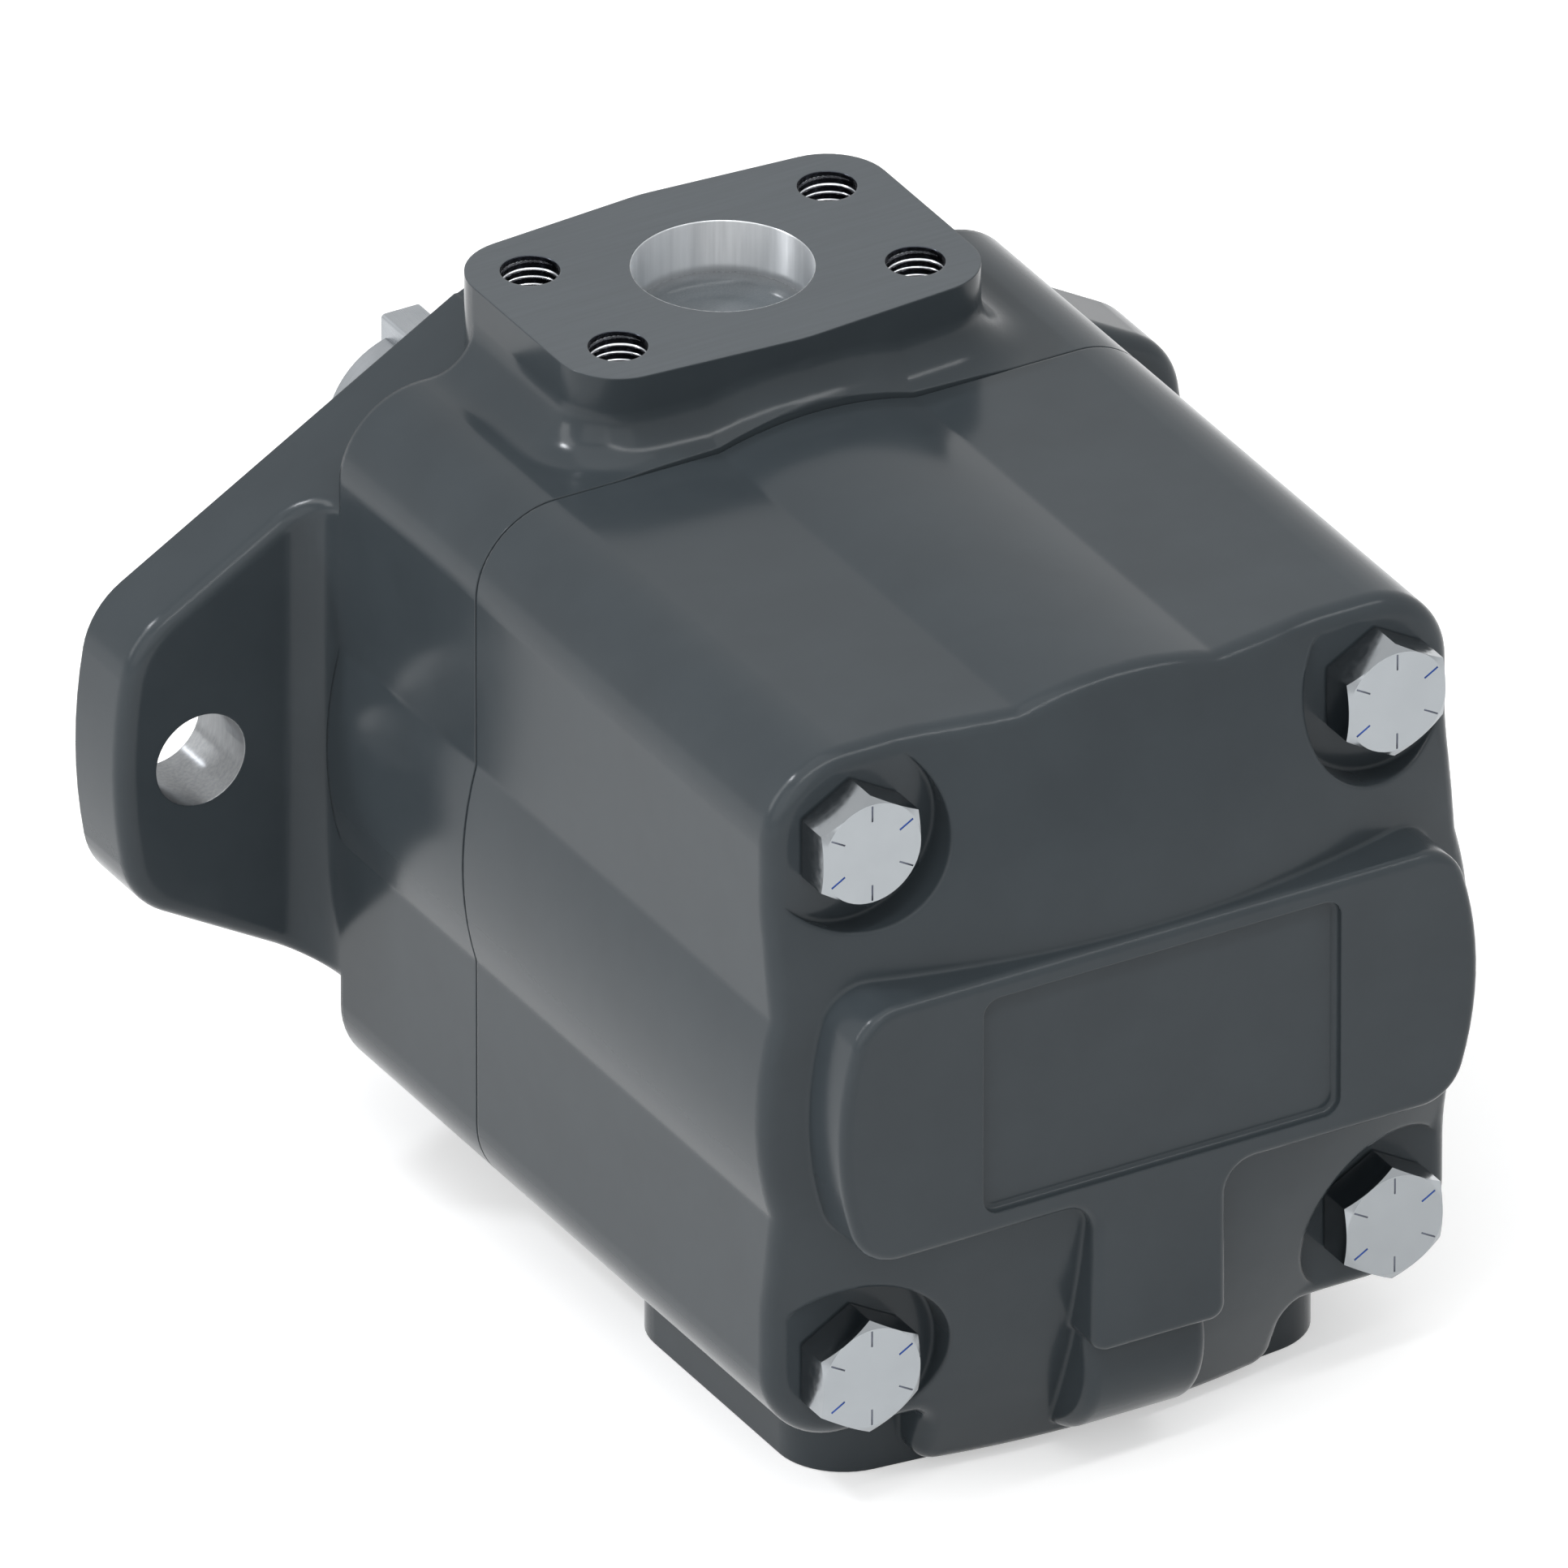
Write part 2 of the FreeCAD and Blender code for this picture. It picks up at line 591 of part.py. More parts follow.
def section_block(body, start, length):
    """The square section with its four bellies, from one distance behind the flange."""
    corners = section_corners(sizes.section_corner)
    pad(body, "block", hull(new_sketch(body, "block", "XZ_Plane", start), corners), length)
    belly = circle(new_sketch(body, "belly", "XZ_Plane", start), 0, 0, sizes.bulge_radius)
    pad(body, "belly", belly, length)
    across = sizes.section_half
    along = root(sizes.bulge_radius * sizes.bulge_radius - across * across)

    def between(edge):
        if not runs_along_y(edge):
            return False
        point = middle(edge)
        near_x = near(abs(point.x), across) and near(abs(point.z), along)
        return near_x or (near(abs(point.z), across) and near(abs(point.x), along))

    fillet(body, "belly_blend", between, sizes.bulge_blend)


def port_pad(body, name, port, face, start, up):
    """The pad of a four-bolt port: a belt around its bolt corners and its round middle."""
    side = 1 if up else -1
    centre = -getattr(sizes, port + "_y")
    bolt_x = getattr(sizes, port + "_bolt_x")
    bolt_y = getattr(sizes, port + "_bolt_y")
    corner = getattr(sizes, port + "_corner")
    middle_radius = getattr(sizes, port + "_round")
    circles = (
        (bolt_x, centre + bolt_y, corner),
        (0, centre, middle_radius),
        (-bolt_x, centre + bolt_y, corner),
        (-bolt_x, centre - bolt_y, corner),
        (0, centre, middle_radius),
        (bolt_x, centre - bolt_y, corner),
    )
    sketch = new_sketch(body, name, "XY_Plane", side * start)
    return pad(body, name, hull(sketch, circles), face - start, reverse=not up)


def port_holes(body, port, face, depth, up):
    """The bore of a port and its four tapped holes."""
    side = 1 if up else -1
    centre = -getattr(sizes, port + "_y")
    bore = circle(
        new_sketch(body, port + "_bore", "XY_Plane", side * face), 0, centre,
        getattr(sizes, port + "_bore"),
    )
    pocket(body, port + "_bore", bore, depth, reverse=not up)
    taps = new_sketch(body, port + "_taps", "XY_Plane", side * face)
    for x, y in four_ways(getattr(sizes, port + "_bolt_x"), getattr(sizes, port + "_bolt_y")):
        circle(taps, x, centre + y, getattr(sizes, port + "_tap_radius"))
    pocket(body, port + "_taps", taps, getattr(sizes, port + "_tap_depth"), reverse=not up)


def flange_outline(sketch):
    """Two ears with sloping sides, tangent to the round middle of the flange."""
    radius, slope = sizes.flange_radius, sizes.ear_slope
    touch_x = radius.value * sine(slope).value
    touch_z = radius.value * cosine(slope).value
    reach = sizes.ear_reach.value
    lean = math.radians(slope.value)
    tip = math.pi / 2 - lean - math.acos(radius.value / reach)
    end_x, end_z = reach * math.cos(tip), reach * math.sin(tip)
    ring = Part.Circle(Vector(0, 0, 0), Vector(0, 0, 1), radius.value)
    rim = Part.Circle(Vector(0, 0, 0), Vector(0, 0, 1), reach)
    quarter = math.pi / 2
    top = sketch.addGeometry(Part.ArcOfCircle(ring, quarter - lean, quarter + lean))
    left = sketch.addGeometry(Part.ArcOfCircle(rim, math.pi - tip, math.pi + tip))
    low = sketch.addGeometry(Part.ArcOfCircle(ring, -quarter - lean, -quarter + lean))
    right = sketch.addGeometry(Part.ArcOfCircle(rim, -tip, tip))
    sides = []
    for side_x, side_z in ((-1, 1), (-1, -1), (1, -1), (1, 1)):
        touch = Vector(side_x * touch_x, side_z * touch_z, 0)
        end = Vector(side_x * end_x, side_z * end_z, 0)
        first, last = (touch, end) if side_x * side_z < 0 else (end, touch)
        sides.append(sketch.addGeometry(Part.LineSegment(first, last)))
    chain = (top, sides[0], left, sides[1], low, sides[2], right, sides[3])
    for number, item in enumerate(chain):
        following = chain[(number + 1) % len(chain)]
        kind = "Tangent" if top in (item, following) or low in (item, following) else "Coincident"
        sketch.addConstraint(Sketcher.Constraint(kind, item, 2, following, 1))
    for item in (top, left, low, right):
        sketch.addConstraint(Sketcher.Constraint("Coincident", item, 3, -1, 1))
    for item in (top, low):
        hold(sketch, "Radius", item, radius)
    for item in (left, right):
        hold(sketch, "Radius", item, sizes.ear_reach)
    for item, angle in zip(sides, (180 + slope, -slope, slope, 180 - slope)):
        number = sketch.addConstraint(
            Sketcher.Constraint("Angle", item, math.radians(angle.value))
        )
        sketch.setExpression("Constraints[%d]" % number, "%s * 1 deg" % angle.text)
    return sketch


def neck_outline(sketch):
    """The flange outline where it is narrowed to the flats of the square section."""
    half, radius, slope = sizes.section_half, sizes.flange_radius, sizes.ear_slope
    side_z = (radius - half * sine(slope)) / cosine(slope)
    top_x = (radius - half * cosine(slope)) / sine(slope)
    corners = []
    for x, z in ((1, 1), (-1, 1), (-1, -1), (1, -1)):
        pair = [(x * half, z * side_z), (x * top_x, z * half)]
        corners += pair if x * z > 0 else pair[::-1]
    return polygon(sketch, corners)


def flange(body):
    """The mounting flange with its ears, roots, rounded rear edges and pilot."""
    pad(body, "neck", neck_outline(new_sketch(body, "neck", "XZ_Plane", 0)), sizes.front_y)
    outline = flange_outline(new_sketch(body, "flange", "XZ_Plane", 0))
    pad(body, "flange", outline, sizes.flange_thick)

    def ear_corner(edge):
        point = middle(edge)
        return runs_along_y(edge) and near(math.hypot(point.x, point.z), sizes.ear_reach)

    def ear_root(edge):
        point = middle(edge)
        return (
            near(point.y, -sizes.flange_thick) and near(abs(point.x), sizes.section_half)
            and near(point.z, 0)
        )

    def ear_edge(edge):
        point = middle(edge)
        beside = abs(point.x) > sizes.section_half.value + sizes.ear_root.value / 2
        outside = math.hypot(point.x, point.z) > (sizes.mount_half - sizes.ear_corner).value
        past = abs(point.z) + abs(point.x) > sizes.mount_half.value
        return near(point.y, -sizes.flange_thick) and beside and outside and past

    fillet(body, "ear_corner", ear_corner, sizes.ear_corner)
    fillet(body, "ear_root", ear_root, sizes.ear_root)
    fillet(body, "ear_edge", ear_edge, sizes.ear_edge)
    pilot = circle(new_sketch(body, "pilot", "XZ_Plane", 0), 0, 0, sizes.pilot_radius)
    pad(body, "pilot", pilot, sizes.pilot_length, reverse=True)
    chamfer(body, "pilot_chamfer", lambda edge: near(middle(edge).y, sizes.pilot_length),
            sizes.pilot_chamfer)
    holes = new_sketch(body, "mount_holes", "XZ_Plane", sizes.flange_thick)
    for side in (1, -1):
        circle(holes, side * sizes.mount_half, 0, sizes.mount_hole_radius)
    pocket(body, "mount_holes", holes, sizes.flange_thick)


def outlet_saddle(body):
    """The rear part of the outlet pad, flowing into the top of the square section."""
    base = sizes.section_half - sizes.pad_root
    port_pad(body, "saddle", "outlet", sizes.outlet_face, base, True)
    front = new_sketch(body, "saddle_front", "XZ_Plane", sizes.front_y)
    pocket(body, "saddle_front", rectangle(front, -ROOM, ROOM, -ROOM, ROOM), sizes.front_y)

    def foot(edge):
        point = middle(edge)
        low = point.z < (sizes.outlet_face - sizes.saddle_radius / 2).value
        on_top = point.z > sizes.section_half.value - TOUCH
        behind = point.y < -sizes.front_y.value - TOUCH
        inside = abs(point.x) < (sizes.outlet_bolt_x + sizes.outlet_corner).value + TOUCH
        shaftwise = point.y > -(sizes.outlet_y + sizes.outlet_round).value - TOUCH
        of_belly = runs_along_y(edge) and abs(point.x) < sizes.outlet_round.value
        upright = abs(edge.tangentAt(edge.FirstParameter).z) > STEEP
        return low and on_top and behind and inside and shaftwise and not of_belly \
            and not upright

    fillet(body, "saddle", foot, sizes.saddle_radius)
    rear = new_sketch(body, "joint_face", "XZ_Plane", sizes.parting_y)
    pocket(body, "joint_face", rectangle(rear, -ROOM, ROOM, -ROOM, ROOM), ROOM, reverse=True)


def front_bores(body):
    """The stepped bore along the shaft: bearing, seal, hub boss, chamber and register."""
    far = sizes.pilot_length + OVERCUT
    joint = sizes.parting_y
    steps = (
        (far, 0), (far, sizes.bearing_radius),
        (-sizes.bearing_y, sizes.bearing_radius), (-sizes.bearing_y, sizes.seal_radius),
        (-sizes.seal_seat_y, sizes.seal_radius), (-sizes.seal_seat_y, sizes.throat_radius),
        (-sizes.hub_front_y, sizes.throat_radius), (-sizes.hub_front_y, sizes.hub_radius),
        (-sizes.boss_y, sizes.hub_radius), (-sizes.boss_y, sizes.boss_radius),
        (-sizes.chamber_front_y, sizes.boss_radius),
        (-sizes.chamber_front_y, sizes.chamber_radius),
        (-sizes.register_y, sizes.chamber_radius), (-sizes.register_y, sizes.register_radius),
        (sizes.gland_depth - joint, sizes.register_radius),
        (sizes.gland_depth - joint, sizes.gland_radius),
        (-joint - OVERCUT, sizes.gland_radius), (-joint - OVERCUT, 0),
    )
    groove(body, "bore", polygon(new_sketch(body, "bore", "YZ_Plane"), steps))
    rear, width = sizes.bearing_y - sizes.bearing_width, sizes.ring_width + sizes.side_gap * 2
    slot = new_sketch(body, "ring_groove", "YZ_Plane")
    inner = sizes.bearing_radius - OVERCUT
    rectangle(slot, -rear, width - rear, inner, sizes.body_ring_groove)
    groove(body, "ring_groove", slot)
    taps = new_sketch(body, "bolt_taps", "XZ_Plane", joint)
    for x, z in four_ways(sizes.bolt_half, sizes.bolt_half):
        circle(taps, x, z, sizes.bolt_radius + sizes.thread_clearance)
    pocket(body, "bolt_taps", taps, sizes.bolt_reach + sizes.tap_spare)


def outlet_passage(body):
    """The rounded floor of the outlet bore and the passage down to the chamber."""
    floor = sizes.outlet_face - sizes.outlet_depth

    def rim(edge):
        point = middle(edge)
        across = math.hypot(point.x, point.y + sizes.outlet_y.value)
        return near(point.z, floor) and near(across, sizes.outlet_bore)

    fillet(body, "outlet_floor", rim, sizes.outlet_floor)
    sketch = new_sketch(body, "passage", "XY_Plane", floor)
    centre = -(sizes.chamber_front_y + sizes.register_y) / 2
    circle(sketch, 0, centre, sizes.passage_radius)
    pocket(body, "passage", sketch, floor - sizes.chamber_radius + sizes.passage_overlap)


def front_body():
    body = new_body("front_body")
    section_block(body, sizes.front_y, sizes.parting_y - sizes.front_y + sizes.saddle_radius * 2)
    outlet_saddle(body)
    flange(body)
    base = sizes.section_half - sizes.pad_root
    port_pad(body, "outlet_pad", "outlet", sizes.outlet_face, base, True)
    front_bores(body)
    port_holes(body, "outlet", sizes.outlet_face, sizes.outlet_depth, True)
    outlet_passage(body)
    return body


def dome_sketch(body, rim):
    """The cutting profile of the dome up to where it has a radius about the shaft."""
    centre = sizes.dome_radius - sizes.dome_y
    sketch = new_sketch(body, "dome", "YZ_Plane")
    ball = Part.Circle(flat(centre, 0), Vector(0, 0, 1), sizes.dome_radius.value)
    rise = math.pi - math.asin((rim / sizes.dome_radius).value)
    arc = sketch.addGeometry(Part.ArcOfCircle(ball, rise, math.pi))
    pin(sketch, arc, 3, centre, 0)
    hold(sketch, "Radius", arc, sizes.dome_radius)
    sketch.addConstraint(Sketcher.Constraint("PointOnObject", arc, 2, -1))
    return sketch, arc


def close_behind(sketch, arc, outside, last, corner):
    """Closes a dome profile behind the cover; its first line starts at a given point."""
    crown, behind = -sizes.dome_y, -sizes.bar_y - OVERCUT
    corners = (corner, (behind, outside), (behind, 0), (crown, 0))
    lines = [
        sketch.addGeometry(Part.LineSegment(flat(*first), flat(*second)))
        for first, second in zip(corners, corners[1:])
    ]
    for number in (0, 1):
        following = lines[number + 1]
        sketch.addConstraint(Sketcher.Constraint("Coincident", lines[number], 2, following, 1))
        pin(sketch, lines[number], 2, *corners[number + 1])
    sketch.addConstraint(Sketcher.Constraint("Coincident", lines[2], 2, arc, 2))
    sketch.addConstraint(Sketcher.Constraint("Coincident", *last, lines[0], 1))


def dome(body):
    """Turns the dome and the level of the bolt seats, and rounds the outer edge."""
    radius, seat, blend = sizes.dome_radius, -sizes.seat_y, sizes.dome_blend
    centre = radius - sizes.dome_y
    blend_y = seat - blend
    reach = radius + blend
    blend_out = root(reach * reach - (centre - blend_y) * (centre - blend_y))
    sketch, arc = dome_sketch(body, blend_out * radius / reach)
    rise = math.atan2(blend_out.value, (blend_y - centre).value)
    hollow = Part.Circle(flat(blend_y, blend_out), Vector(0, 0, 1), blend.value)
    bend = sketch.addGeometry(Part.ArcOfCircle(hollow, rise - math.pi, 0))
    level = sketch.addGeometry(Part.LineSegment(flat(seat, blend_out), flat(seat, ROOM)))
    hold(sketch, "Radius", bend, blend)
    sketch.addConstraint(Sketcher.Constraint("Tangent", arc, 1, bend, 1))
    sketch.addConstraint(Sketcher.Constraint("Tangent", bend, 2, level, 1))
    sketch.addConstraint(Sketcher.Constraint("Vertical", level))
    pin(sketch, level, 2, seat, ROOM)
    close_behind(sketch, arc, ROOM, (level, 2), (seat, ROOM))
    groove(body, "dome", sketch)
    reach = (sizes.section_half - sizes.section_corner).value

    def rim(edge):
        point = middle(edge)
        x, z = abs(point.x), abs(point.z)
        if x > reach and z > reach:
            on_wall = near(math.hypot(x - reach, z - reach), sizes.section_corner)
        else:
            on_wall = max(x, z) > sizes.section_half.value - TOUCH
        return on_wall and point.y < -sizes.inlet_y.value and not runs_along_y(edge)

    fillet(body, "rim", rim, sizes.cover_edge)


def chute():
    """The wide mouth below the cover, which carries the dome down to its lower edge."""
    body = new_body("inlet_chute")
    half, flat_z, low = sizes.chute_half, -sizes.section_half, -sizes.chute_bottom
    wide = half + sizes.chute_root * 2
    top = sizes.chute_overlap - sizes.section_half
    outline = polygon(new_sketch(body, "outline", "XZ_Plane", sizes.inlet_y), (
        (-wide, top), (-wide, flat_z), (-half, flat_z), (-half, low), (half, low),
        (half, flat_z), (wide, flat_z), (wide, top),
    ))
    pad(body, "outline", outline, sizes.bar_y - sizes.inlet_y)

    def along(level):
        def wanted(edge):
            point = middle(edge)
            return runs_along_y(edge) and near(abs(point.x), half) and near(point.z, level)
        return wanted

    fillet(body, "root", along(flat_z), sizes.chute_root)
    fillet(body, "corner", along(low), sizes.chute_corner)
    radius, outside = sizes.dome_radius, sizes.section_half * 2
    sketch, arc = dome_sketch(body, outside)
    edge_y = radius - sizes.dome_y - root(radius * radius - outside * outside)
    close_behind(sketch, arc, outside, (arc, 1), (edge_y, outside))
    hold(sketch, "DistanceY", -1, 1, arc, 1, outside)
    groove(body, "dome", sketch)

    def rim(edge):
        point = middle(edge)
        below = point.z < flat_z.value + TOUCH
        return below and point.y < -sizes.inlet_y.value - TOUCH and not runs_along_y(edge)

    fillet(body, "rim", rim, sizes.cover_edge)
    return body


def nose(body):
    """The round nose between the stem and the lower edge of the chute."""
    half = sizes.nose_half
    sketch = new_sketch(body, "nose", "YZ_Plane", -half)
    circle(sketch, -sizes.nose_y, -sizes.nose_z, sizes.nose_radius)
    pad(body, "nose", sketch, half * 2)

    def end(edge):
        point = middle(edge)
        away = math.hypot(point.y + sizes.nose_y.value, point.z + sizes.nose_z.value)
        return near(abs(point.x), half) and near(away, sizes.nose_radius)

    fillet(body, "nose_edge", end, sizes.nose_edge)


def cover_shell(body):
    """The outside of the cover: domed square section, chute and nose."""
    start = sizes.parting_y + sizes.parting_gap
    section_block(body, start, sizes.bar_y - start)
    dome(body)
    mouth = body.newObject("PartDesign::Boolean", body.Name + "_mouth")
    mouth.Type = "Fuse"
    mouth.setObjects([chute()])
    body.Tip = mouth
    settle(mouth)
    nose(body)


def bar_outline(sketch):
    """A level bar with bowed ends, which meet its top and bottom at corners."""
    top, low, bow = sizes.bar_top, -sizes.bar_bottom, sizes.bar_end
    level = (top + low) / 2
    rise = top - level
    inward = sizes.bar_half - bow
    corner_x = inward + root(bow * bow - rise * rise)
    lean = math.asin(rise.value / bow.value)
    rim = [Part.Circle(flat(side * inward, level), Vector(0, 0, 1), bow.value) for side in (1, -1)]
    right = sketch.addGeometry(Part.ArcOfCircle(rim[0], -lean, lean))
    over = sketch.addGeometry(Part.LineSegment(flat(corner_x, top), flat(-corner_x, top)))
    left = sketch.addGeometry(Part.ArcOfCircle(rim[1], math.pi - lean, math.pi + lean))
    under = sketch.addGeometry(Part.LineSegment(flat(-corner_x, low), flat(corner_x, low)))
    chain = (right, over, left, under)
    for number, item in enumerate(chain):
        following = chain[(number + 1) % len(chain)]
        sketch.addConstraint(Sketcher.Constraint("Coincident", item, 2, following, 1))
    for item, side in ((right, 1), (left, -1)):
        pin(sketch, item, 3, side * inward, level)
        hold(sketch, "Radius", item, bow)
    for item, height in ((over, top), (under, low)):
        sketch.addConstraint(Sketcher.Constraint("Horizontal", item))
        hold(sketch, "DistanceY", -1, 1, item, 1, height)
    return sketch


def bar_and_stem(body):
    """The raised T of the cover: a bar with a stem, and a bare recess for a plate."""
    start = sizes.seat_y
    height = sizes.bar_y - start
    pad(body, "bar", bar_outline(new_sketch(body, "bar", "XZ_Plane", start)), height)
    stem = new_sketch(body, "stem", "XZ_Plane", start)
    rectangle(stem, -sizes.stem_half, sizes.stem_half, -sizes.stem_bottom, 0)
    pad(body, "stem", stem, height)
    face = -sizes.bar_y.value

    def upright(x_size, z_size):
        def wanted(edge):
            point = middle(edge)
            high = min(vertex.Y for vertex in edge.Vertexes) < face + TOUCH
            return runs_along_y(edge) and high and near(abs(point.x), x_size) \
                and near(point.z, z_size)
        return wanted

    def bar_end(edge):
        high = min(vertex.Y for vertex in edge.Vertexes) < face + TOUCH
        return runs_along_y(edge) and high and abs(middle(edge).x) > sizes.recess_half.value

    def on_face(edge):
        return all(near(vertex.Y, face) for vertex in edge.Vertexes) and not runs_along_y(edge)

    fillet(body, "bar_corner", bar_end, sizes.bar_corner)
    fillet(body, "stem_corner", upright(sizes.stem_half, -sizes.stem_bottom), sizes.stem_corner)
    fillet(body, "stem_root", upright(sizes.stem_half, -sizes.bar_bottom), sizes.stem_root)
    fillet(body, "bar_edge", on_face, sizes.bar_edge)


def plate_recess(body):
    """The shallow bare recess in the bar."""
    sketch = new_sketch(body, "recess", "XZ_Plane", sizes.bar_y)
    rectangle(sketch, -sizes.recess_half, sizes.recess_half,
              sizes.recess_under - sizes.bar_bottom, sizes.bar_top - sizes.recess_over)
    pocket(body, "recess", sketch, sizes.recess_depth)
    floor = (sizes.recess_depth - sizes.bar_y).value

    def corner(edge):
        return runs_along_y(edge) and near(abs(middle(edge).x), sizes.recess_half) \
            and near(min(vertex.Y for vertex in edge.Vertexes), -sizes.bar_y) \
            and near(max(vertex.Y for vertex in edge.Vertexes), floor)

    def on_floor(edge):
        return all(near(vertex.Y, floor) for vertex in edge.Vertexes) \
            and near(middle(edge).y, floor)

    fillet(body, "recess_corner", corner, sizes.recess_corner)
    fillet(body, "recess_edge", on_floor, sizes.recess_edge)


def cover_bores(body):
    """The cartridge cavity, inlet plenum, tail bore and bolt holes of the cover."""
    joint, plenum = OVERCUT - sizes.parting_y, sizes.plenum_radius
    steps = (
        (joint, 0), (joint, sizes.cavity_radius), (-sizes.plenum_front_y, sizes.cavity_radius),
        (-sizes.plenum_front_y, plenum), (-sizes.cavity_y, plenum),
        (-sizes.cavity_y, sizes.tail_radius), (-sizes.tail_y, sizes.tail_radius),
        (-sizes.tail_y, 0),
    )
    groove(body, "cavity", polygon(new_sketch(body, "cavity", "YZ_Plane"), steps))
    spots = new_sketch(body, "spots", "XZ_Plane", sizes.seat_y)
    holes = new_sketch(body, "bolt_holes", "XZ_Plane", sizes.seat_y)
    for x, z in four_ways(sizes.bolt_half, sizes.bolt_half):
        circle(spots, x, z, sizes.spot_radius)
        circle(holes, x, z, sizes.bolt_radius + sizes.bolt_clearance)
    pocket(body, "spots", spots, sizes.bar_y - sizes.seat_y + OVERCUT, reverse=True)
    pocket(body, "bolt_holes", holes, sizes.seat_y - sizes.parting_y + OVERCUT)


def joint_land(body):
    """The slightly smaller land that leaves a dark line at the joint."""
    corners = section_corners(sizes.section_corner - sizes.parting_depth)
    sketch = hull(new_sketch(body, "land", "XZ_Plane", sizes.parting_y), corners)
    pad(body, "land", sketch, sizes.parting_gap + OVERCUT)


def inlet_cover():
    body = new_body("inlet_cover")
    cover_shell(body)
    bar_and_stem(body)
    plate_recess(body)
    base = sizes.section_half - sizes.pad_root
    port_pad(body, "inlet_pad", "inlet", sizes.inlet_face, base, False)
    joint_land(body)
    cover_bores(body)
    depth = sizes.inlet_face - sizes.cavity_radius + sizes.inlet_overlap
    port_holes(body, "inlet", sizes.inlet_face, depth, False)
    return body


def polar(body, name, originals, count):
    """Repeats features around the shaft axis."""
    pattern = body.newObject("PartDesign::PolarPattern", "%s_%s" % (body.Name, name))
    pattern.Originals = originals
    pattern.Axis = (origin_item(body, "Y_Axis"), [""])
    pattern.Angle = 360
    pattern.Occurrences = count
    body.Tip = pattern
    return settle(pattern)


def turned(label, profile):
    """A body of one turned profile of (y, radius) points."""
    body = new_body(label)
    turn(body, "turn", polygon(new_sketch(body, "turn", "YZ_Plane"), profile))
    return body


def tube_profile(front, back, inner, outer):
    """The profile of a tube between two distances behind the mounting face."""
    return ((-front, inner), (-back, inner), (-back, outer), (-front, outer))


def placed(kind, label, turned_about, degrees, x, y, z):
    """A Part primitive turned about one axis and then put at a driven place."""
    item = doc.addObject(kind, label)
    item.Label = label
    item.Placement = Placement(Vector(0, 0, 0), Rotation(turned_about, degrees))
    for path, size in (("x", x), ("y", y), ("z", z)):
        bind(item, "Placement.Base." + path, size)
    return item


ACROSS, ALONG = Vector(1, 0, 0), Vector(0, 1, 0)


def rear_cylinder(label, x, z, front, length, radius):
    """A cylinder parallel to the shaft that starts at a distance and runs rearward."""
    item = placed("Part::Cylinder", label, ACROSS, 90, x, -front, z)
    bind(item, "Radius", radius)
    bind(item, "Height", length)
    return item


def ring_torus(label, back, ring_radius, wire):
    """A round-section ring about the shaft axis."""
    item = placed("Part::Torus", label, ACROSS, 90, 0, -back, 0)
    bind(item, "Radius1", ring_radius)
    bind(item, "Radius2", wire)
    return item


def joined(kind, label, parts):
    """A compound or a fusion of several primitives."""
    item = doc.addObject(kind, label)
    item.Label = label
    if kind == "Part::Compound":
        item.Links = parts
    else:
        item.Shapes = parts
    return item


def cut(label, base, tool):
    """One shape with another taken away."""
    item = doc.addObject("Part::Cut", label)
    item.Label = label
    item.Base = base
    item.Tool = tool
    return item


def cover_bolt(number, x, z):
    """One hexagon head bolt: bevelled head, washer face, shank and bevelled end."""
    name = "cover_bolt_%d_" % number
    start = sizes.seat_y + sizes.washer_height
    height = sizes.head_height - sizes.washer_height
    hexagon = placed("Part::Prism", name + "hexagon", ACROSS, 90, x, -start, z)
    hexagon.Placement = hexagon.Placement.multiply(
        Placement(Vector(0, 0, 0), Rotation(Vector(0, 0, 1), 30))
    )
    hexagon.Polygon = 6
    bind(hexagon, "Circumradius", sizes.head_flats / (2 * cosine(30)))
    bind(hexagon, "Height", height)
    bevel = placed("Part::Cone", name + "bevel", ACROSS, 90, x, -start, z)
    slope = sine(sizes.head_bevel) / cosine(sizes.head_bevel)
    bind(bevel, "Radius1", sizes.head_flats / 2 + height / slope)
    bind(bevel, "Radius2", sizes.head_flats / 2)
    bind(bevel, "Height", height)
    head = doc.addObject("Part::Common", name + "head")
    head.Base = hexagon
    head.Tool = bevel
    washer = rear_cylinder(name + "washer", x, z, sizes.seat_y, sizes.washer_height,
                           sizes.washer_radius)
    end = sizes.parting_y - sizes.bolt_reach + sizes.bolt_tip
    shank = rear_cylinder(name + "shank", x, z, end, sizes.seat_y - end, sizes.bolt_radius)
    tip = placed("Part::Cone", name + "tip", ACROSS, 90, x, sizes.bolt_tip - end, z)
    bind(tip, "Radius1", sizes.bolt_radius - sizes.bolt_tip)
    bind(tip, "Radius2", sizes.bolt_radius)
    bind(tip, "Height", sizes.bolt_tip)
    return joined("Part::MultiFuse", name + "whole", [head, washer, shank, tip])


def cover_bolts():
    places = four_ways(sizes.bolt_half, sizes.bolt_half)
    bolts = [cover_bolt(number, x, z) for number, (x, z) in enumerate(places, 1)]
    return joined("Part::Compound", "cover_bolts", bolts)


def joint_oring():
    wire = sizes.gland_depth / 2 - sizes.slide_gap
    return ring_torus("joint_oring", sizes.parting_y - sizes.gland_depth / 2,
                      (sizes.gland_radius + sizes.register_radius) / 2, wire)


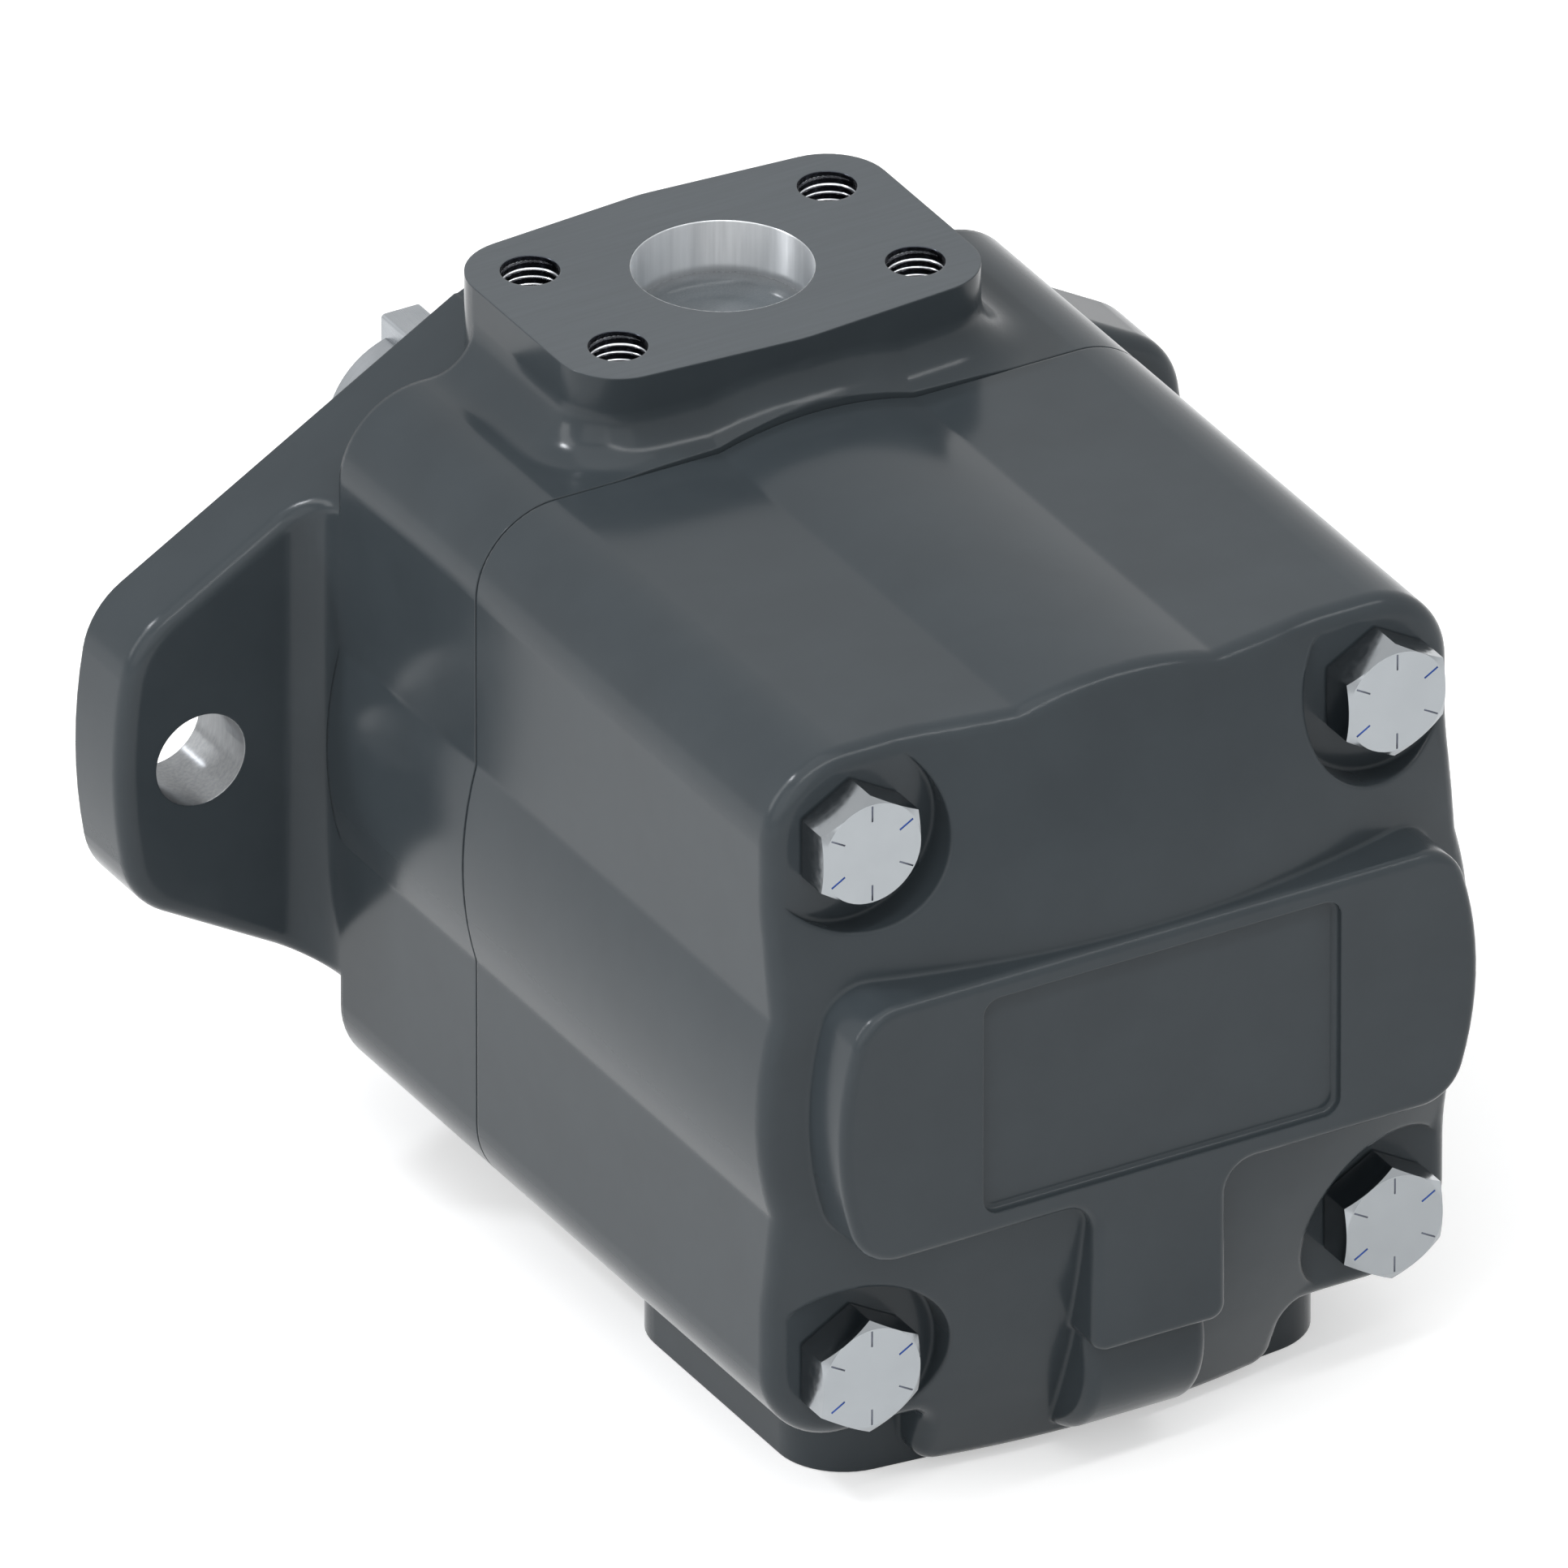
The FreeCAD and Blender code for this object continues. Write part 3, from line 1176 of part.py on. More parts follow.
def drive_shaft():
    """Keyed end, bearing seat with ring groove, shoulder, seal journal, spline and tail."""
    body = new_body("drive_shaft")
    shoulder_back = sizes.bearing_y + sizes.shoulder_width
    seat = sizes.bearing_bore - sizes.fit_gap
    spline_front = sizes.cam_front_y - sizes.side_plate_thick / 2
    end = sizes.cavity_y
    ring_front = sizes.side_gap - sizes.ring_y
    ring_back = -sizes.side_gap - sizes.ring_y - sizes.ring_width
    seat_front = sizes.seat_lead - sizes.ring_y
    profile = (
        (sizes.shaft_end, 0), (sizes.shaft_end, sizes.shaft_radius - sizes.shaft_bevel),
        (sizes.shaft_end - sizes.shaft_bevel, sizes.shaft_radius),
        (seat_front, sizes.shaft_radius), (seat_front, seat),
        (ring_front, seat), (ring_front, sizes.shaft_ring_groove),
        (ring_back, sizes.shaft_ring_groove), (ring_back, seat),
        (-sizes.bearing_y, seat), (-sizes.bearing_y, sizes.shoulder_radius),
        (-shoulder_back, sizes.shoulder_radius), (-shoulder_back, sizes.journal_radius),
        (sizes.neck_width - spline_front, sizes.journal_radius),
        (sizes.neck_width - spline_front, sizes.neck_radius), (-spline_front, sizes.neck_radius),
        (-spline_front, sizes.spline_root), (-sizes.cam_back_y, sizes.spline_root),
        (-sizes.cam_back_y, sizes.tail_journal), (sizes.shaft_bevel - end, sizes.tail_journal),
        (-end, sizes.tail_journal - sizes.shaft_bevel), (-end, 0),
    )
    turn(body, "turn", polygon(new_sketch(body, "turn", "YZ_Plane"), profile))
    tooth = new_sketch(body, "tooth", "XZ_Plane", spline_front)
    rectangle(tooth, -sizes.spline_width / 2, sizes.spline_width / 2, sizes.spline_root / 2,
              sizes.spline_radius)
    first = pad(body, "tooth", tooth, sizes.cam_back_y - spline_front)
    polar(body, "teeth", [first], SPLINE_TEETH)
    keyway = new_sketch(body, "keyway", "XZ_Plane", sizes.key_length - sizes.shaft_end)
    side = sizes.key_width / 2 + sizes.fit_gap
    rectangle(keyway, -side, side, sizes.key_top - sizes.key_height, sizes.shaft_radius * 2)
    pocket(body, "keyway", keyway, sizes.key_length)
    return body


def shaft_key():
    body = new_body("shaft_key")
    sketch = new_sketch(body, "key", "XZ_Plane", -sizes.shaft_end)
    side = sizes.key_width / 2
    rectangle(sketch, -side, side, sizes.key_top - sizes.key_height, sizes.key_top)
    pad(body, "key", sketch, sizes.key_length)
    fillet(body, "key_edge", runs_along_y, sizes.key_edge)
    return body


def bearing_ring(label, inner, outer):
    """A ball bearing ring with its race."""
    front = sizes.bearing_y - sizes.bearing_width
    body = turned(label, tube_profile(front, sizes.bearing_y, inner, outer))
    race = new_sketch(body, "race", "YZ_Plane")
    circle(race, -(front + sizes.bearing_y) / 2, sizes.pitch_radius,
           sizes.ball_radius + sizes.race_gap)
    groove(body, "race", race)
    return body


def bearing_inner_ring():
    return bearing_ring("bearing_inner_ring", sizes.bearing_bore, sizes.inner_shoulder)


def bearing_outer_ring():
    return bearing_ring("bearing_outer_ring", sizes.outer_shoulder,
                        sizes.bearing_radius - sizes.fit_gap)


def bearing_balls():
    middle_y = sizes.bearing_width / 2 - sizes.bearing_y
    balls = []
    for number in range(BALLS):
        angle = 360 * number / BALLS
        ball = placed("Part::Sphere", "bearing_ball_%d" % (number + 1), ACROSS, 90,
                      sizes.pitch_radius * sine(angle), middle_y,
                      sizes.pitch_radius * cosine(angle))
        bind(ball, "Radius", sizes.ball_radius)
        balls.append(ball)
    return joined("Part::Compound", "bearing_balls", balls)


def bearing_cage():
    """A solid cage with a drilled pocket for each ball."""
    middle_y = sizes.bearing_y - sizes.bearing_width / 2
    inner = sizes.pitch_radius - sizes.cage_thick / 2
    half = sizes.cage_width / 2
    body = turned("bearing_cage", tube_profile(middle_y - half, middle_y + half, inner,
                                               inner + sizes.cage_thick))
    hole = circle(new_sketch(body, "pocket", "XY_Plane"), 0, -middle_y,
                  sizes.ball_radius + sizes.cage_gap)
    first = pocket(body, "pocket", hole, sizes.bearing_radius, reverse=True)
    polar(body, "pockets", [first], BALLS)
    return body


def retaining_ring(label, inner, outer, lug_circle, side):
    """An open spring ring with two pliers lugs beside its opening."""
    body = new_body(label)
    start, width = sizes.ring_y, sizes.ring_width
    sketch = new_sketch(body, "ring", "XZ_Plane", start)
    circle(sketch, 0, 0, outer)
    circle(sketch, 0, 0, inner)
    pad(body, "ring", sketch, width)
    opening = new_sketch(body, "opening", "XZ_Plane", start)
    half = sizes.ring_gap / 2
    far = outer + OVERCUT
    low, high = (0, far) if side > 0 else (-far, 0)
    rectangle(opening, -half, half, low, high)
    pocket(body, "opening", opening, width, reverse=True)
    reach = half + sizes.lug_radius / 2
    lugs = new_sketch(body, "lugs", "XZ_Plane", start)
    holes = new_sketch(body, "lug_holes", "XZ_Plane", start)
    for across in (reach, -reach):
        circle(lugs, across, side * lug_circle, sizes.lug_radius)
        circle(holes, across, side * lug_circle, sizes.lug_hole)
    pad(body, "lugs", lugs, width)
    pocket(body, "lug_holes", holes, width, reverse=True)
    return body


def body_retaining_ring():
    outer = sizes.body_ring_groove - sizes.side_gap
    inner = outer - sizes.ring_depth
    return retaining_ring("body_retaining_ring", inner, outer, inner - sizes.lug_radius / 2, -1)


def shaft_retaining_ring():
    inner = sizes.shaft_ring_groove + sizes.side_gap
    outer = inner + sizes.ring_depth
    return retaining_ring("shaft_retaining_ring", inner, outer, outer + sizes.lug_radius / 4, 1)


def seal_case():
    outer = sizes.seal_radius - sizes.fit_gap
    back = sizes.seal_y + sizes.seal_width
    wall = sizes.case_wall
    inner = sizes.journal_radius + sizes.seal_width / 2
    return turned("seal_case", (
        (-sizes.seal_y, outer), (-sizes.seal_y, outer - wall), (wall - back, outer - wall),
        (wall - back, inner), (-back, inner), (-back, outer),
    ))


def seal_lip():
    """The rubber lip: a skirt bonded to the case with an arm that reaches the shaft."""
    back = sizes.seal_y + sizes.seal_width - sizes.case_wall
    edge = sizes.journal_radius + sizes.lip_gap
    front = sizes.seal_y + sizes.case_wall
    arm = edge + 3 * sizes.spring_wire
    outer = sizes.seal_radius - sizes.fit_gap - sizes.case_wall
    return turned("seal_lip", (
        (-back, outer), (-back, arm), (-front - 2 * sizes.spring_wire, edge),
        (-front, edge + sizes.spring_wire), (-front, arm),
        (-front - 4 * sizes.spring_wire, arm), (2 * sizes.case_wall - back, arm + sizes.case_wall),
        (sizes.case_wall - back, outer),
    ))


def seal_spring():
    arm = sizes.journal_radius + sizes.lip_gap + 3 * sizes.spring_wire
    back = sizes.seal_y + sizes.case_wall + 2 * sizes.spring_wire
    return ring_torus("seal_spring", back, arm + sizes.spring_wire + sizes.slide_gap,
                      sizes.spring_wire)


def round_holes(body, name, start, depth, holes):
    """Drills round holes rearward from one distance behind the mounting face."""
    sketch = new_sketch(body, name, "XZ_Plane", start)
    for x, z, radius in holes:
        circle(sketch, x, z, radius)
    pocket(body, name, sketch, depth, reverse=True)


def pin_places():
    return ((0, sizes.pin_circle), (0, -sizes.pin_circle))


def screw_places():
    return ((sizes.pin_circle, 0), (-sizes.pin_circle, 0))


def fixing_holes(body, start, depth):
    """Holes for the dowel pins and the cartridge screws."""
    clearance = sizes.pin_radius + sizes.slide_gap
    places = pin_places() + screw_places()
    round_holes(body, "fixings", start, depth, [(x, z, clearance) for x, z in places])


def kidney(sketch, angle):
    """A curved slot about the shaft axis, centred on one angle."""
    radius, half, span = sizes.kidney_radius, sizes.kidney_half, sizes.kidney_span
    first, last = angle - span, angle + span
    centre = Vector(0, 0, 0)
    axis = Vector(0, 0, 1)
    start, end = math.radians(first.value), math.radians(last.value)
    outer = Part.Circle(centre, axis, (radius + half).value)
    inner = Part.Circle(centre, axis, (radius - half).value)
    wide = sketch.addGeometry(Part.ArcOfCircle(outer, start, end))
    narrow = sketch.addGeometry(Part.ArcOfCircle(inner, start, end))
    caps = []
    for bearing, turn_from in ((last, end), (first, start + math.pi)):
        place = (radius * cosine(bearing), radius * sine(bearing))
        round_end = Part.Circle(flat(*place), axis, half.value)
        cap = sketch.addGeometry(Part.ArcOfCircle(round_end, turn_from, turn_from + math.pi))
        pin(sketch, cap, 3, *place)
        caps.append(cap)
    for item in (wide, narrow):
        sketch.addConstraint(Sketcher.Constraint("Coincident", item, 3, -1, 1))
    for item, point, cap, cap_point in (
        (wide, 2, caps[0], 1), (narrow, 2, caps[0], 2), (wide, 1, caps[1], 2),
    ):
        sketch.addConstraint(Sketcher.Constraint("Tangent", item, point, cap, cap_point))
    hold(sketch, "Radius", wide, radius + half)
    for item in (narrow, caps[1]):
        hold(sketch, "DistanceX", -1, 1, item, 1, (radius - half) * cosine(first))


def kidneys(body, start, depth, angles):
    """Cuts kidneys rearward from one distance behind the mounting face."""
    sketch = new_sketch(body, "kidneys", "XZ_Plane", start)
    for angle in angles:
        kidney(sketch, angle)
    pocket(body, "kidneys", sketch, depth, reverse=True)


OUTLET_ANGLES = (135, 315)
INLET_ANGLES = (45, 225)


def outlet_plate():
    """The pressure plate with its hub, seal groove, outlet kidneys and fixing holes."""
    back, front = sizes.parting_y, sizes.register_y
    bore = sizes.journal_radius + sizes.cage_gap
    outer = sizes.register_radius - sizes.slide_gap
    floor = sizes.register_radius - sizes.ring_groove_depth
    groove_front = (front + back) / 2 - sizes.backup_width
    groove_back = groove_front + sizes.oring_wire * 2 + sizes.backup_width + sizes.cage_gap
    body = turned("outlet_plate", (
        (-sizes.outlet_hub_y, bore), (-back, bore), (-back, outer), (-groove_back, outer),
        (-groove_back, floor), (-groove_front, floor), (-groove_front, outer), (-front, outer),
        (-front, sizes.hub_radius - sizes.slide_gap),
        (-sizes.outlet_hub_y, sizes.hub_radius - sizes.slide_gap),
    ))
    kidneys(body, front, back - front, OUTLET_ANGLES)
    fixing_holes(body, back - sizes.pin_depth, sizes.pin_depth)
    return body


def outlet_plate_oring():
    groove_front = (sizes.register_y + sizes.parting_y) / 2 - sizes.backup_width
    ring = sizes.register_radius - sizes.ring_groove_depth / 2
    return ring_torus("outlet_plate_oring", groove_front + sizes.oring_wire + sizes.slide_gap,
                      ring, sizes.oring_wire)


def outlet_plate_backup_ring():
    groove_front = (sizes.register_y + sizes.parting_y) / 2 - sizes.backup_width
    start = groove_front + sizes.oring_wire * 2 + sizes.side_gap
    floor = sizes.register_radius - sizes.ring_groove_depth
    return turned("outlet_plate_backup_ring", tube_profile(
        start, start + sizes.backup_width, floor + sizes.side_gap,
        sizes.register_radius - sizes.side_gap,
    ))


def side_plate(label, start):
    """A thin plate beside the rotor, with all four kidneys."""
    bore = sizes.journal_radius + sizes.cage_gap
    back = start + sizes.side_plate_thick
    body = turned(label, tube_profile(start, back, bore, sizes.side_plate_radius))
    kidneys(body, start, sizes.side_plate_thick, OUTLET_ANGLES + INLET_ANGLES)
    fixing_holes(body, start, sizes.side_plate_thick)
    return body


def front_side_plate():
    return side_plate("front_side_plate", sizes.parting_y)


def rear_side_plate():
    return side_plate("rear_side_plate", sizes.cam_back_y)


def contour_radius(degrees):
    """Cam radius at an angle from +X: level dwells joined by smooth rises and falls."""
    folded = abs((degrees + 90) % 180 - 90)
    dwell = sizes.cam_dwell.value
    share = min(max((folded - dwell) / (90 - 2 * dwell), 0), 1)
    eased = share ** 3 * (10 - 15 * share + 6 * share ** 2)
    return sizes.cam_major.value + (sizes.cam_minor - sizes.cam_major).value * eased


def cam_ring():
    """The stationary ring whose two-lobed bore pushes the vanes in twice a turn."""
    points = []
    for number in range(CONTOUR_POINTS):
        degrees = 360 * number / CONTOUR_POINTS
        radius = contour_radius(degrees)
        angle = math.radians(degrees)
        points.append(Vector(radius * math.cos(angle), 0, radius * math.sin(angle)))
    curve = Part.BSplineCurve()
    curve.interpolate(points, PeriodicFlag=True)
    contour = doc.addObject("Part::Feature", "cam_contour")
    contour.Shape = Part.Face(Part.Wire(curve.toShape()))
    contour.Placement = Placement(Vector(0, 0, 0), Rotation())
    bind(contour, "Placement.Base.y", OVERCUT - sizes.cam_front_y)
    bore = doc.addObject("Part::Extrusion", "cam_bore")
    bore.Base = contour
    bore.DirMode = "Custom"
    bore.Dir = Vector(0, -1, 0)
    bore.Solid = True
    through = sizes.cam_width + OVERCUT * 2
    bind(bore, "LengthFwd", through)
    blank = rear_cylinder("cam_blank", 0, 0, sizes.cam_front_y, sizes.cam_width, sizes.cam_radius)
    clearance = sizes.pin_radius + sizes.slide_gap
    front = sizes.cam_front_y - OVERCUT
    holes = [
        rear_cylinder("cam_hole_%d" % number, x, z, front, through, clearance)
        for number, (x, z) in enumerate(pin_places() + screw_places(), 1)
    ]
    drilled = cut("cam_drilled", blank, joined("Part::Compound", "cam_holes", holes))
    return cut("cam_ring", drilled, bore)


def rotor():
    """The slotted and splined rotor."""
    body = new_body("rotor")
    start = sizes.cam_front_y + sizes.slide_gap
    width = sizes.cam_width - 2 * sizes.slide_gap
    disc = new_sketch(body, "disc", "XZ_Plane", start)
    circle(disc, 0, 0, sizes.rotor_radius)
    circle(disc, 0, 0, sizes.spline_root + sizes.spline_gap)
    pad(body, "disc", disc, width)
    tooth = new_sketch(body, "tooth_space", "XZ_Plane", start)
    half = sizes.spline_width / 2 + sizes.spline_gap
    rectangle(tooth, -half, half, 0, sizes.spline_radius + sizes.spline_gap)
    space = pocket(body, "tooth_space", tooth, width, reverse=True)
    polar(body, "tooth_spaces", [space], SPLINE_TEETH)
    slot = new_sketch(body, "slot", "XZ_Plane", start)
    half = sizes.vane_thick / 2 + sizes.slide_gap
    rectangle(slot, -half, half, sizes.slot_floor, sizes.rotor_radius + OVERCUT)
    cut_slot = pocket(body, "slot", slot, width, reverse=True)
    floor = circle(new_sketch(body, "slot_root", "XZ_Plane", start), 0, sizes.slot_floor,
                   sizes.slot_root)
    cut_root = pocket(body, "slot_root", floor, width, reverse=True)
    polar(body, "slots", [cut_slot, cut_root], VANES)
    return body


def vane(number):
    """One vane with rounded tip edges and a notch that straddles its insert."""
    body = new_body("vane_%d" % number)
    start = sizes.cam_front_y + sizes.slide_gap
    width = sizes.cam_width - 2 * sizes.slide_gap
    half = sizes.vane_thick / 2
    low = sizes.slot_floor + sizes.vane_room
    blade = new_sketch(body, "blade", "XZ_Plane", start)
    rectangle(blade, -half, half, low, sizes.vane_tip)
    pad(body, "blade", blade, width)
    notch = new_sketch(body, "notch", "YZ_Plane", sizes.vane_thick)
    middle_y = -(start + width / 2)
    reach = sizes.insert_width / 2 + sizes.side_gap
    rectangle(notch, middle_y - reach, middle_y + reach, low - OVERCUT,
              sizes.slot_floor + sizes.insert_height + sizes.insert_room)
    pocket(body, "notch", notch, 2 * sizes.vane_thick)
    fillet(body, "tip", lambda edge: runs_along_y(edge) and near(middle(edge).z, sizes.vane_tip),
           sizes.vane_edge)
    body.Placement = Placement(Vector(0, 0, 0), Rotation(ALONG, 360 * (number - 1) / VANES))
    return body


def vane_inserts():
    """The small blades that stay at the slot floors, one under each vane."""
    half = sizes.vane_thick / 2
    low = sizes.slot_floor + sizes.side_gap
    y = -(sizes.cam_front_y + sizes.cam_width / 2) - sizes.insert_width / 2
    inserts = []
    for number in range(VANES):
        angle = 360 * number / VANES
        x = low * sine(angle) - half * cosine(angle)
        z = low * cosine(angle) + half * sine(angle)
        item = placed("Part::Box", "vane_insert_%d" % (number + 1), ALONG, angle, x, y, z)
        bind(item, "Length", sizes.vane_thick)
        bind(item, "Width", sizes.insert_width)
        bind(item, "Height", sizes.insert_height)
        inserts.append(item)
    return joined("Part::Compound", "vane_inserts", inserts)


def inlet_plate():
    """The rear plate with its hub, inlet kidneys and sunk screw heads."""
    hub = sizes.tail_radius - sizes.slide_gap
    bushing = sizes.tail_journal + sizes.slide_gap + sizes.bushing_thick + sizes.fit_gap
    step = sizes.cavity_y - sizes.bushing_length
    bore = sizes.tail_journal + sizes.cage_gap
    body = turned("inlet_plate", (
        (-sizes.plate_front_y, bore), (-step, bore), (-step, bushing), (-sizes.tail_y, bushing),
        (-sizes.tail_y, hub), (-sizes.plate_back_y, hub),
        (-sizes.plate_back_y, sizes.side_plate_radius), (-sizes.plate_front_y, sizes.side_plate_radius),
    ))
    kidneys(body, sizes.plate_front_y, sizes.inlet_plate_thick, INLET_ANGLES)
    clearance = sizes.pin_radius + sizes.slide_gap
    round_holes(body, "pin_holes", sizes.plate_front_y, sizes.pin_depth,
                [(x, z, clearance) for x, z in pin_places()])
    round_holes(body, "screw_holes", sizes.plate_front_y, sizes.inlet_plate_thick,
                [(x, z, clearance) for x, z in screw_places()])
    round_holes(body, "head_seats", sizes.plate_back_y - sizes.screw_head_height,
                sizes.screw_head_height,
                [(x, z, sizes.screw_head + sizes.side_gap) for x, z in screw_places()])
    return body


def rear_bushing():
    inner = sizes.tail_journal + sizes.slide_gap
    front = sizes.cavity_y - sizes.bushing_length
    return turned("rear_bushing", tube_profile(front, sizes.cavity_y, inner,
                                               inner + sizes.bushing_thick))


def dowel_pins():
    start = sizes.parting_y - sizes.pin_depth + sizes.side_gap
    length = sizes.plate_front_y + sizes.pin_depth - sizes.side_gap - start
    pins = [
        rear_cylinder("dowel_pin_%d" % number, x, z, start, length, sizes.pin_radius)
        for number, (x, z) in enumerate(pin_places(), 1)
    ]
    return joined("Part::Compound", "dowel_pins", pins)


def cartridge_screws():
    """Two socket head screws that hold the cartridge together."""
    start = sizes.parting_y - sizes.pin_depth + sizes.side_gap
    seat = sizes.plate_back_y - sizes.screw_head_height
    screws = []
    for number, (x, z) in enumerate(screw_places(), 1):
        name = "cartridge_screw_%d_" % number
        shank = rear_cylinder(name + "shank", x, z, start, seat - start, sizes.pin_radius)
        head = rear_cylinder(name + "head", x, z, seat, sizes.screw_head_height, sizes.screw_head)
        socket = placed("Part::Prism", name + "socket", ACROSS, 90, x,
                        sizes.screw_head_height / 2 - sizes.plate_back_y, z)
        socket.Polygon = 6
        bind(socket, "Circumradius", sizes.screw_socket / cosine(30))
        bind(socket, "Height", sizes.screw_head_height)
        whole = joined("Part::MultiFuse", name + "blank", [shank, head])
        screws.append(cut(name + "whole", whole, socket))
    return joined("Part::Compound", "cartridge_screws", screws)


def write_parts(pieces):
    """Checks every object and writes each sub-part to a file of its own."""
    doc.recompute()
    for item in doc.Objects:
        if {"Invalid", "Error"} & set(item.State):
            raise RuntimeError("%s is not valid" % item.Name)
    os.makedirs("parts", exist_ok=True)
    for piece in pieces:
        if piece.Shape.isNull() or not piece.Shape.isValid():
            raise RuntimeError("%s has no valid shape" % piece.Label)
        piece.Shape.exportStep("parts/%s.step" % piece.Label)


def build_all():
    """Makes every sub-part in the order in which the pump is put together."""
    makers = (
        front_body, inlet_cover, cover_bolts, joint_oring, drive_shaft, shaft_key,
        bearing_inner_ring, bearing_outer_ring, bearing_balls, bearing_cage,
        body_retaining_ring, shaft_retaining_ring, seal_case, seal_lip, seal_spring,
        outlet_plate, outlet_plate_oring, outlet_plate_backup_ring, front_side_plate,
        rear_side_plate, cam_ring, rotor, vane_inserts, inlet_plate, rear_bushing,
        dowel_pins, cartridge_screws,
    )
    pieces = [make() for make in makers]
    return pieces + [vane(number) for number in range(1, VANES + 1)]


write_parts(build_all())
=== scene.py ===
import math

import bpy
from mathutils import Matrix, Vector


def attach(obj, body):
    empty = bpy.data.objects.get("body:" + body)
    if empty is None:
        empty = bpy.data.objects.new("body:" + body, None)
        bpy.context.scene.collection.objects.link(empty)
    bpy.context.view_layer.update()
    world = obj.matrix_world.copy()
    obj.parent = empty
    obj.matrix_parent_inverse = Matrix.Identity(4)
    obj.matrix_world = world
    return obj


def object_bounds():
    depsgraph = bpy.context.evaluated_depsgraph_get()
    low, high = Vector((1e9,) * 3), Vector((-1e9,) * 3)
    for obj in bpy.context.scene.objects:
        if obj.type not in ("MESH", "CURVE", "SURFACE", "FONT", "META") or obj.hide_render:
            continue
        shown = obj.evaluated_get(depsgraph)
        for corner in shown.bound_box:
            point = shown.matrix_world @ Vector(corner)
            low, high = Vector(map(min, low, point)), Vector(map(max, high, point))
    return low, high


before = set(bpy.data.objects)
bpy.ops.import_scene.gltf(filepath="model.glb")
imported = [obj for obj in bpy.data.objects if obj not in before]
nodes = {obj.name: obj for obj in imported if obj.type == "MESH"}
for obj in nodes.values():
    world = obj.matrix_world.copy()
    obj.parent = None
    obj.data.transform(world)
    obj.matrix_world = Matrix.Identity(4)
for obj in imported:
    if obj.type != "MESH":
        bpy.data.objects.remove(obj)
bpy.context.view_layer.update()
scene = bpy.context.scene

# Places on the solids, in metres in their frame: the shaft lies along Y, the outlet is on top
OUTLET_Y, OUTLET_FACE, OUTLET_BORE = -0.0381, 0.08255, 0.015875
OUTLET_TAPS, OUTLET_TAP, OUTLET_PITCH = (0.02935, 0.0151), 0.0052, 0.0015
INLET_Y, INLET_FACE, INLET_BORE = -0.1254, -0.08255, 0.0254
INLET_TAPS, INLET_TAP, INLET_PITCH = (0.0389, 0.02143), 0.0059, 0.0018
THREAD_DEPTH = 0.018
MOUNT_HOLE_X, MOUNT_HOLE, SHAFT_BORE = 0.0905, 0.00875, 0.038
JOINT_Y, SECTION_TOP = -0.0701, 0.0705
RECESS_HALF, RECESS_LOW, RECESS_HIGH = 0.0352, -0.0198, 0.0225
BOLT_PLACE, HEAD_TOP = 0.0516, -0.17844

# The outlet bore's bright wall ends in its rounded floor, which carries painted light, between
# these two heights
OUTLET_FLOOR = 0.06955
BORE_FADE = (OUTLET_FLOOR + 0.0010, OUTLET_FLOOR + 0.0048)

# How far a mask reaches past the surface it marks
SKIN = 2e-5

# Edges look rounded by these radii; cut edges stay crisp as far as the reach
CAST_EDGE, CUT_EDGE, CUT_REACH, LIP_GAP = 0.0013, 0.00045, 0.0022, 0.0003

# Most of a noise lies between these values
NOISE_LOW, NOISE_HIGH = 0.3, 0.7


# Shader helpers

def new_material(name):
    """A material with an empty node tree, its output and a principled shader."""
    material = bpy.data.materials.new(name)
    material.use_nodes = True
    tree = material.node_tree
    tree.nodes.clear()
    output = tree.nodes.new("ShaderNodeOutputMaterial")
    shader = tree.nodes.new("ShaderNodeBsdfPrincipled")
    tree.links.new(shader.outputs[0], output.inputs[0])
    return material, tree, shader


def feed(tree, socket, value):
    """Sets a socket to a number or links it to another socket."""
    if isinstance(value, (int, float)):
        socket.default_value = value
    else:
        tree.links.new(value, socket)


def math_node(tree, operation, first, second=0.0, clamp=False):
    """One step of arithmetic on sockets or numbers."""
    node = tree.nodes.new("ShaderNodeMath")
    node.operation = operation
    node.use_clamp = clamp
    feed(tree, node.inputs[0], first)
    feed(tree, node.inputs[1], second)
    return node.outputs[0]


def times(tree, first, second):
    """A product; of two masks, the place where both are one."""
    return math_node(tree, "MULTIPLY", first, second)


def over(tree, value, limit):
    """One where the value is over the limit, else zero."""
    return math_node(tree, "GREATER_THAN", value, limit)


def under(tree, value, limit):
    """One where the value is under the limit, else zero."""
    return math_node(tree, "LESS_THAN", value, limit)


def either(tree, masks):
    """One where any of the masks is one."""
    total = masks[0]
    for mask in masks[1:]:
        total = math_node(tree, "MAXIMUM", total, mask)
    return total


def nowhere(tree):
    """A mask that is zero all over."""
    value = tree.nodes.new("ShaderNodeValue").outputs[0]
    value.default_value = 0.0
    return value


def square_sum(tree, first, second):
    """The squares of two coordinates, added up."""
    return math_node(tree, "ADD", times(tree, first, first), times(tree, second, second))


def within(tree, across, up, radius):
    """One inside a circle around the origin of two coordinates, else zero."""
    return under(tree, square_sum(tree, across, up), radius * radius)


def from_centre(tree, value, centre):
    """Distance of a coordinate from a centre."""
    return math_node(tree, "SUBTRACT", value, centre)


def from_pair(tree, value, centre):
    """Distance of a coordinate from the nearer of plus and minus a centre."""
    return from_centre(tree, math_node(tree, "ABSOLUTE", value), centre)


def place(tree):
    """The three coordinates of the shaded point, in metres in the frame."""
    source = tree.nodes.new("ShaderNodeTexCoord").outputs["Object"]
    split = tree.nodes.new("ShaderNodeSeparateXYZ")
    tree.links.new(source, split.inputs[0])
    return source, split.outputs


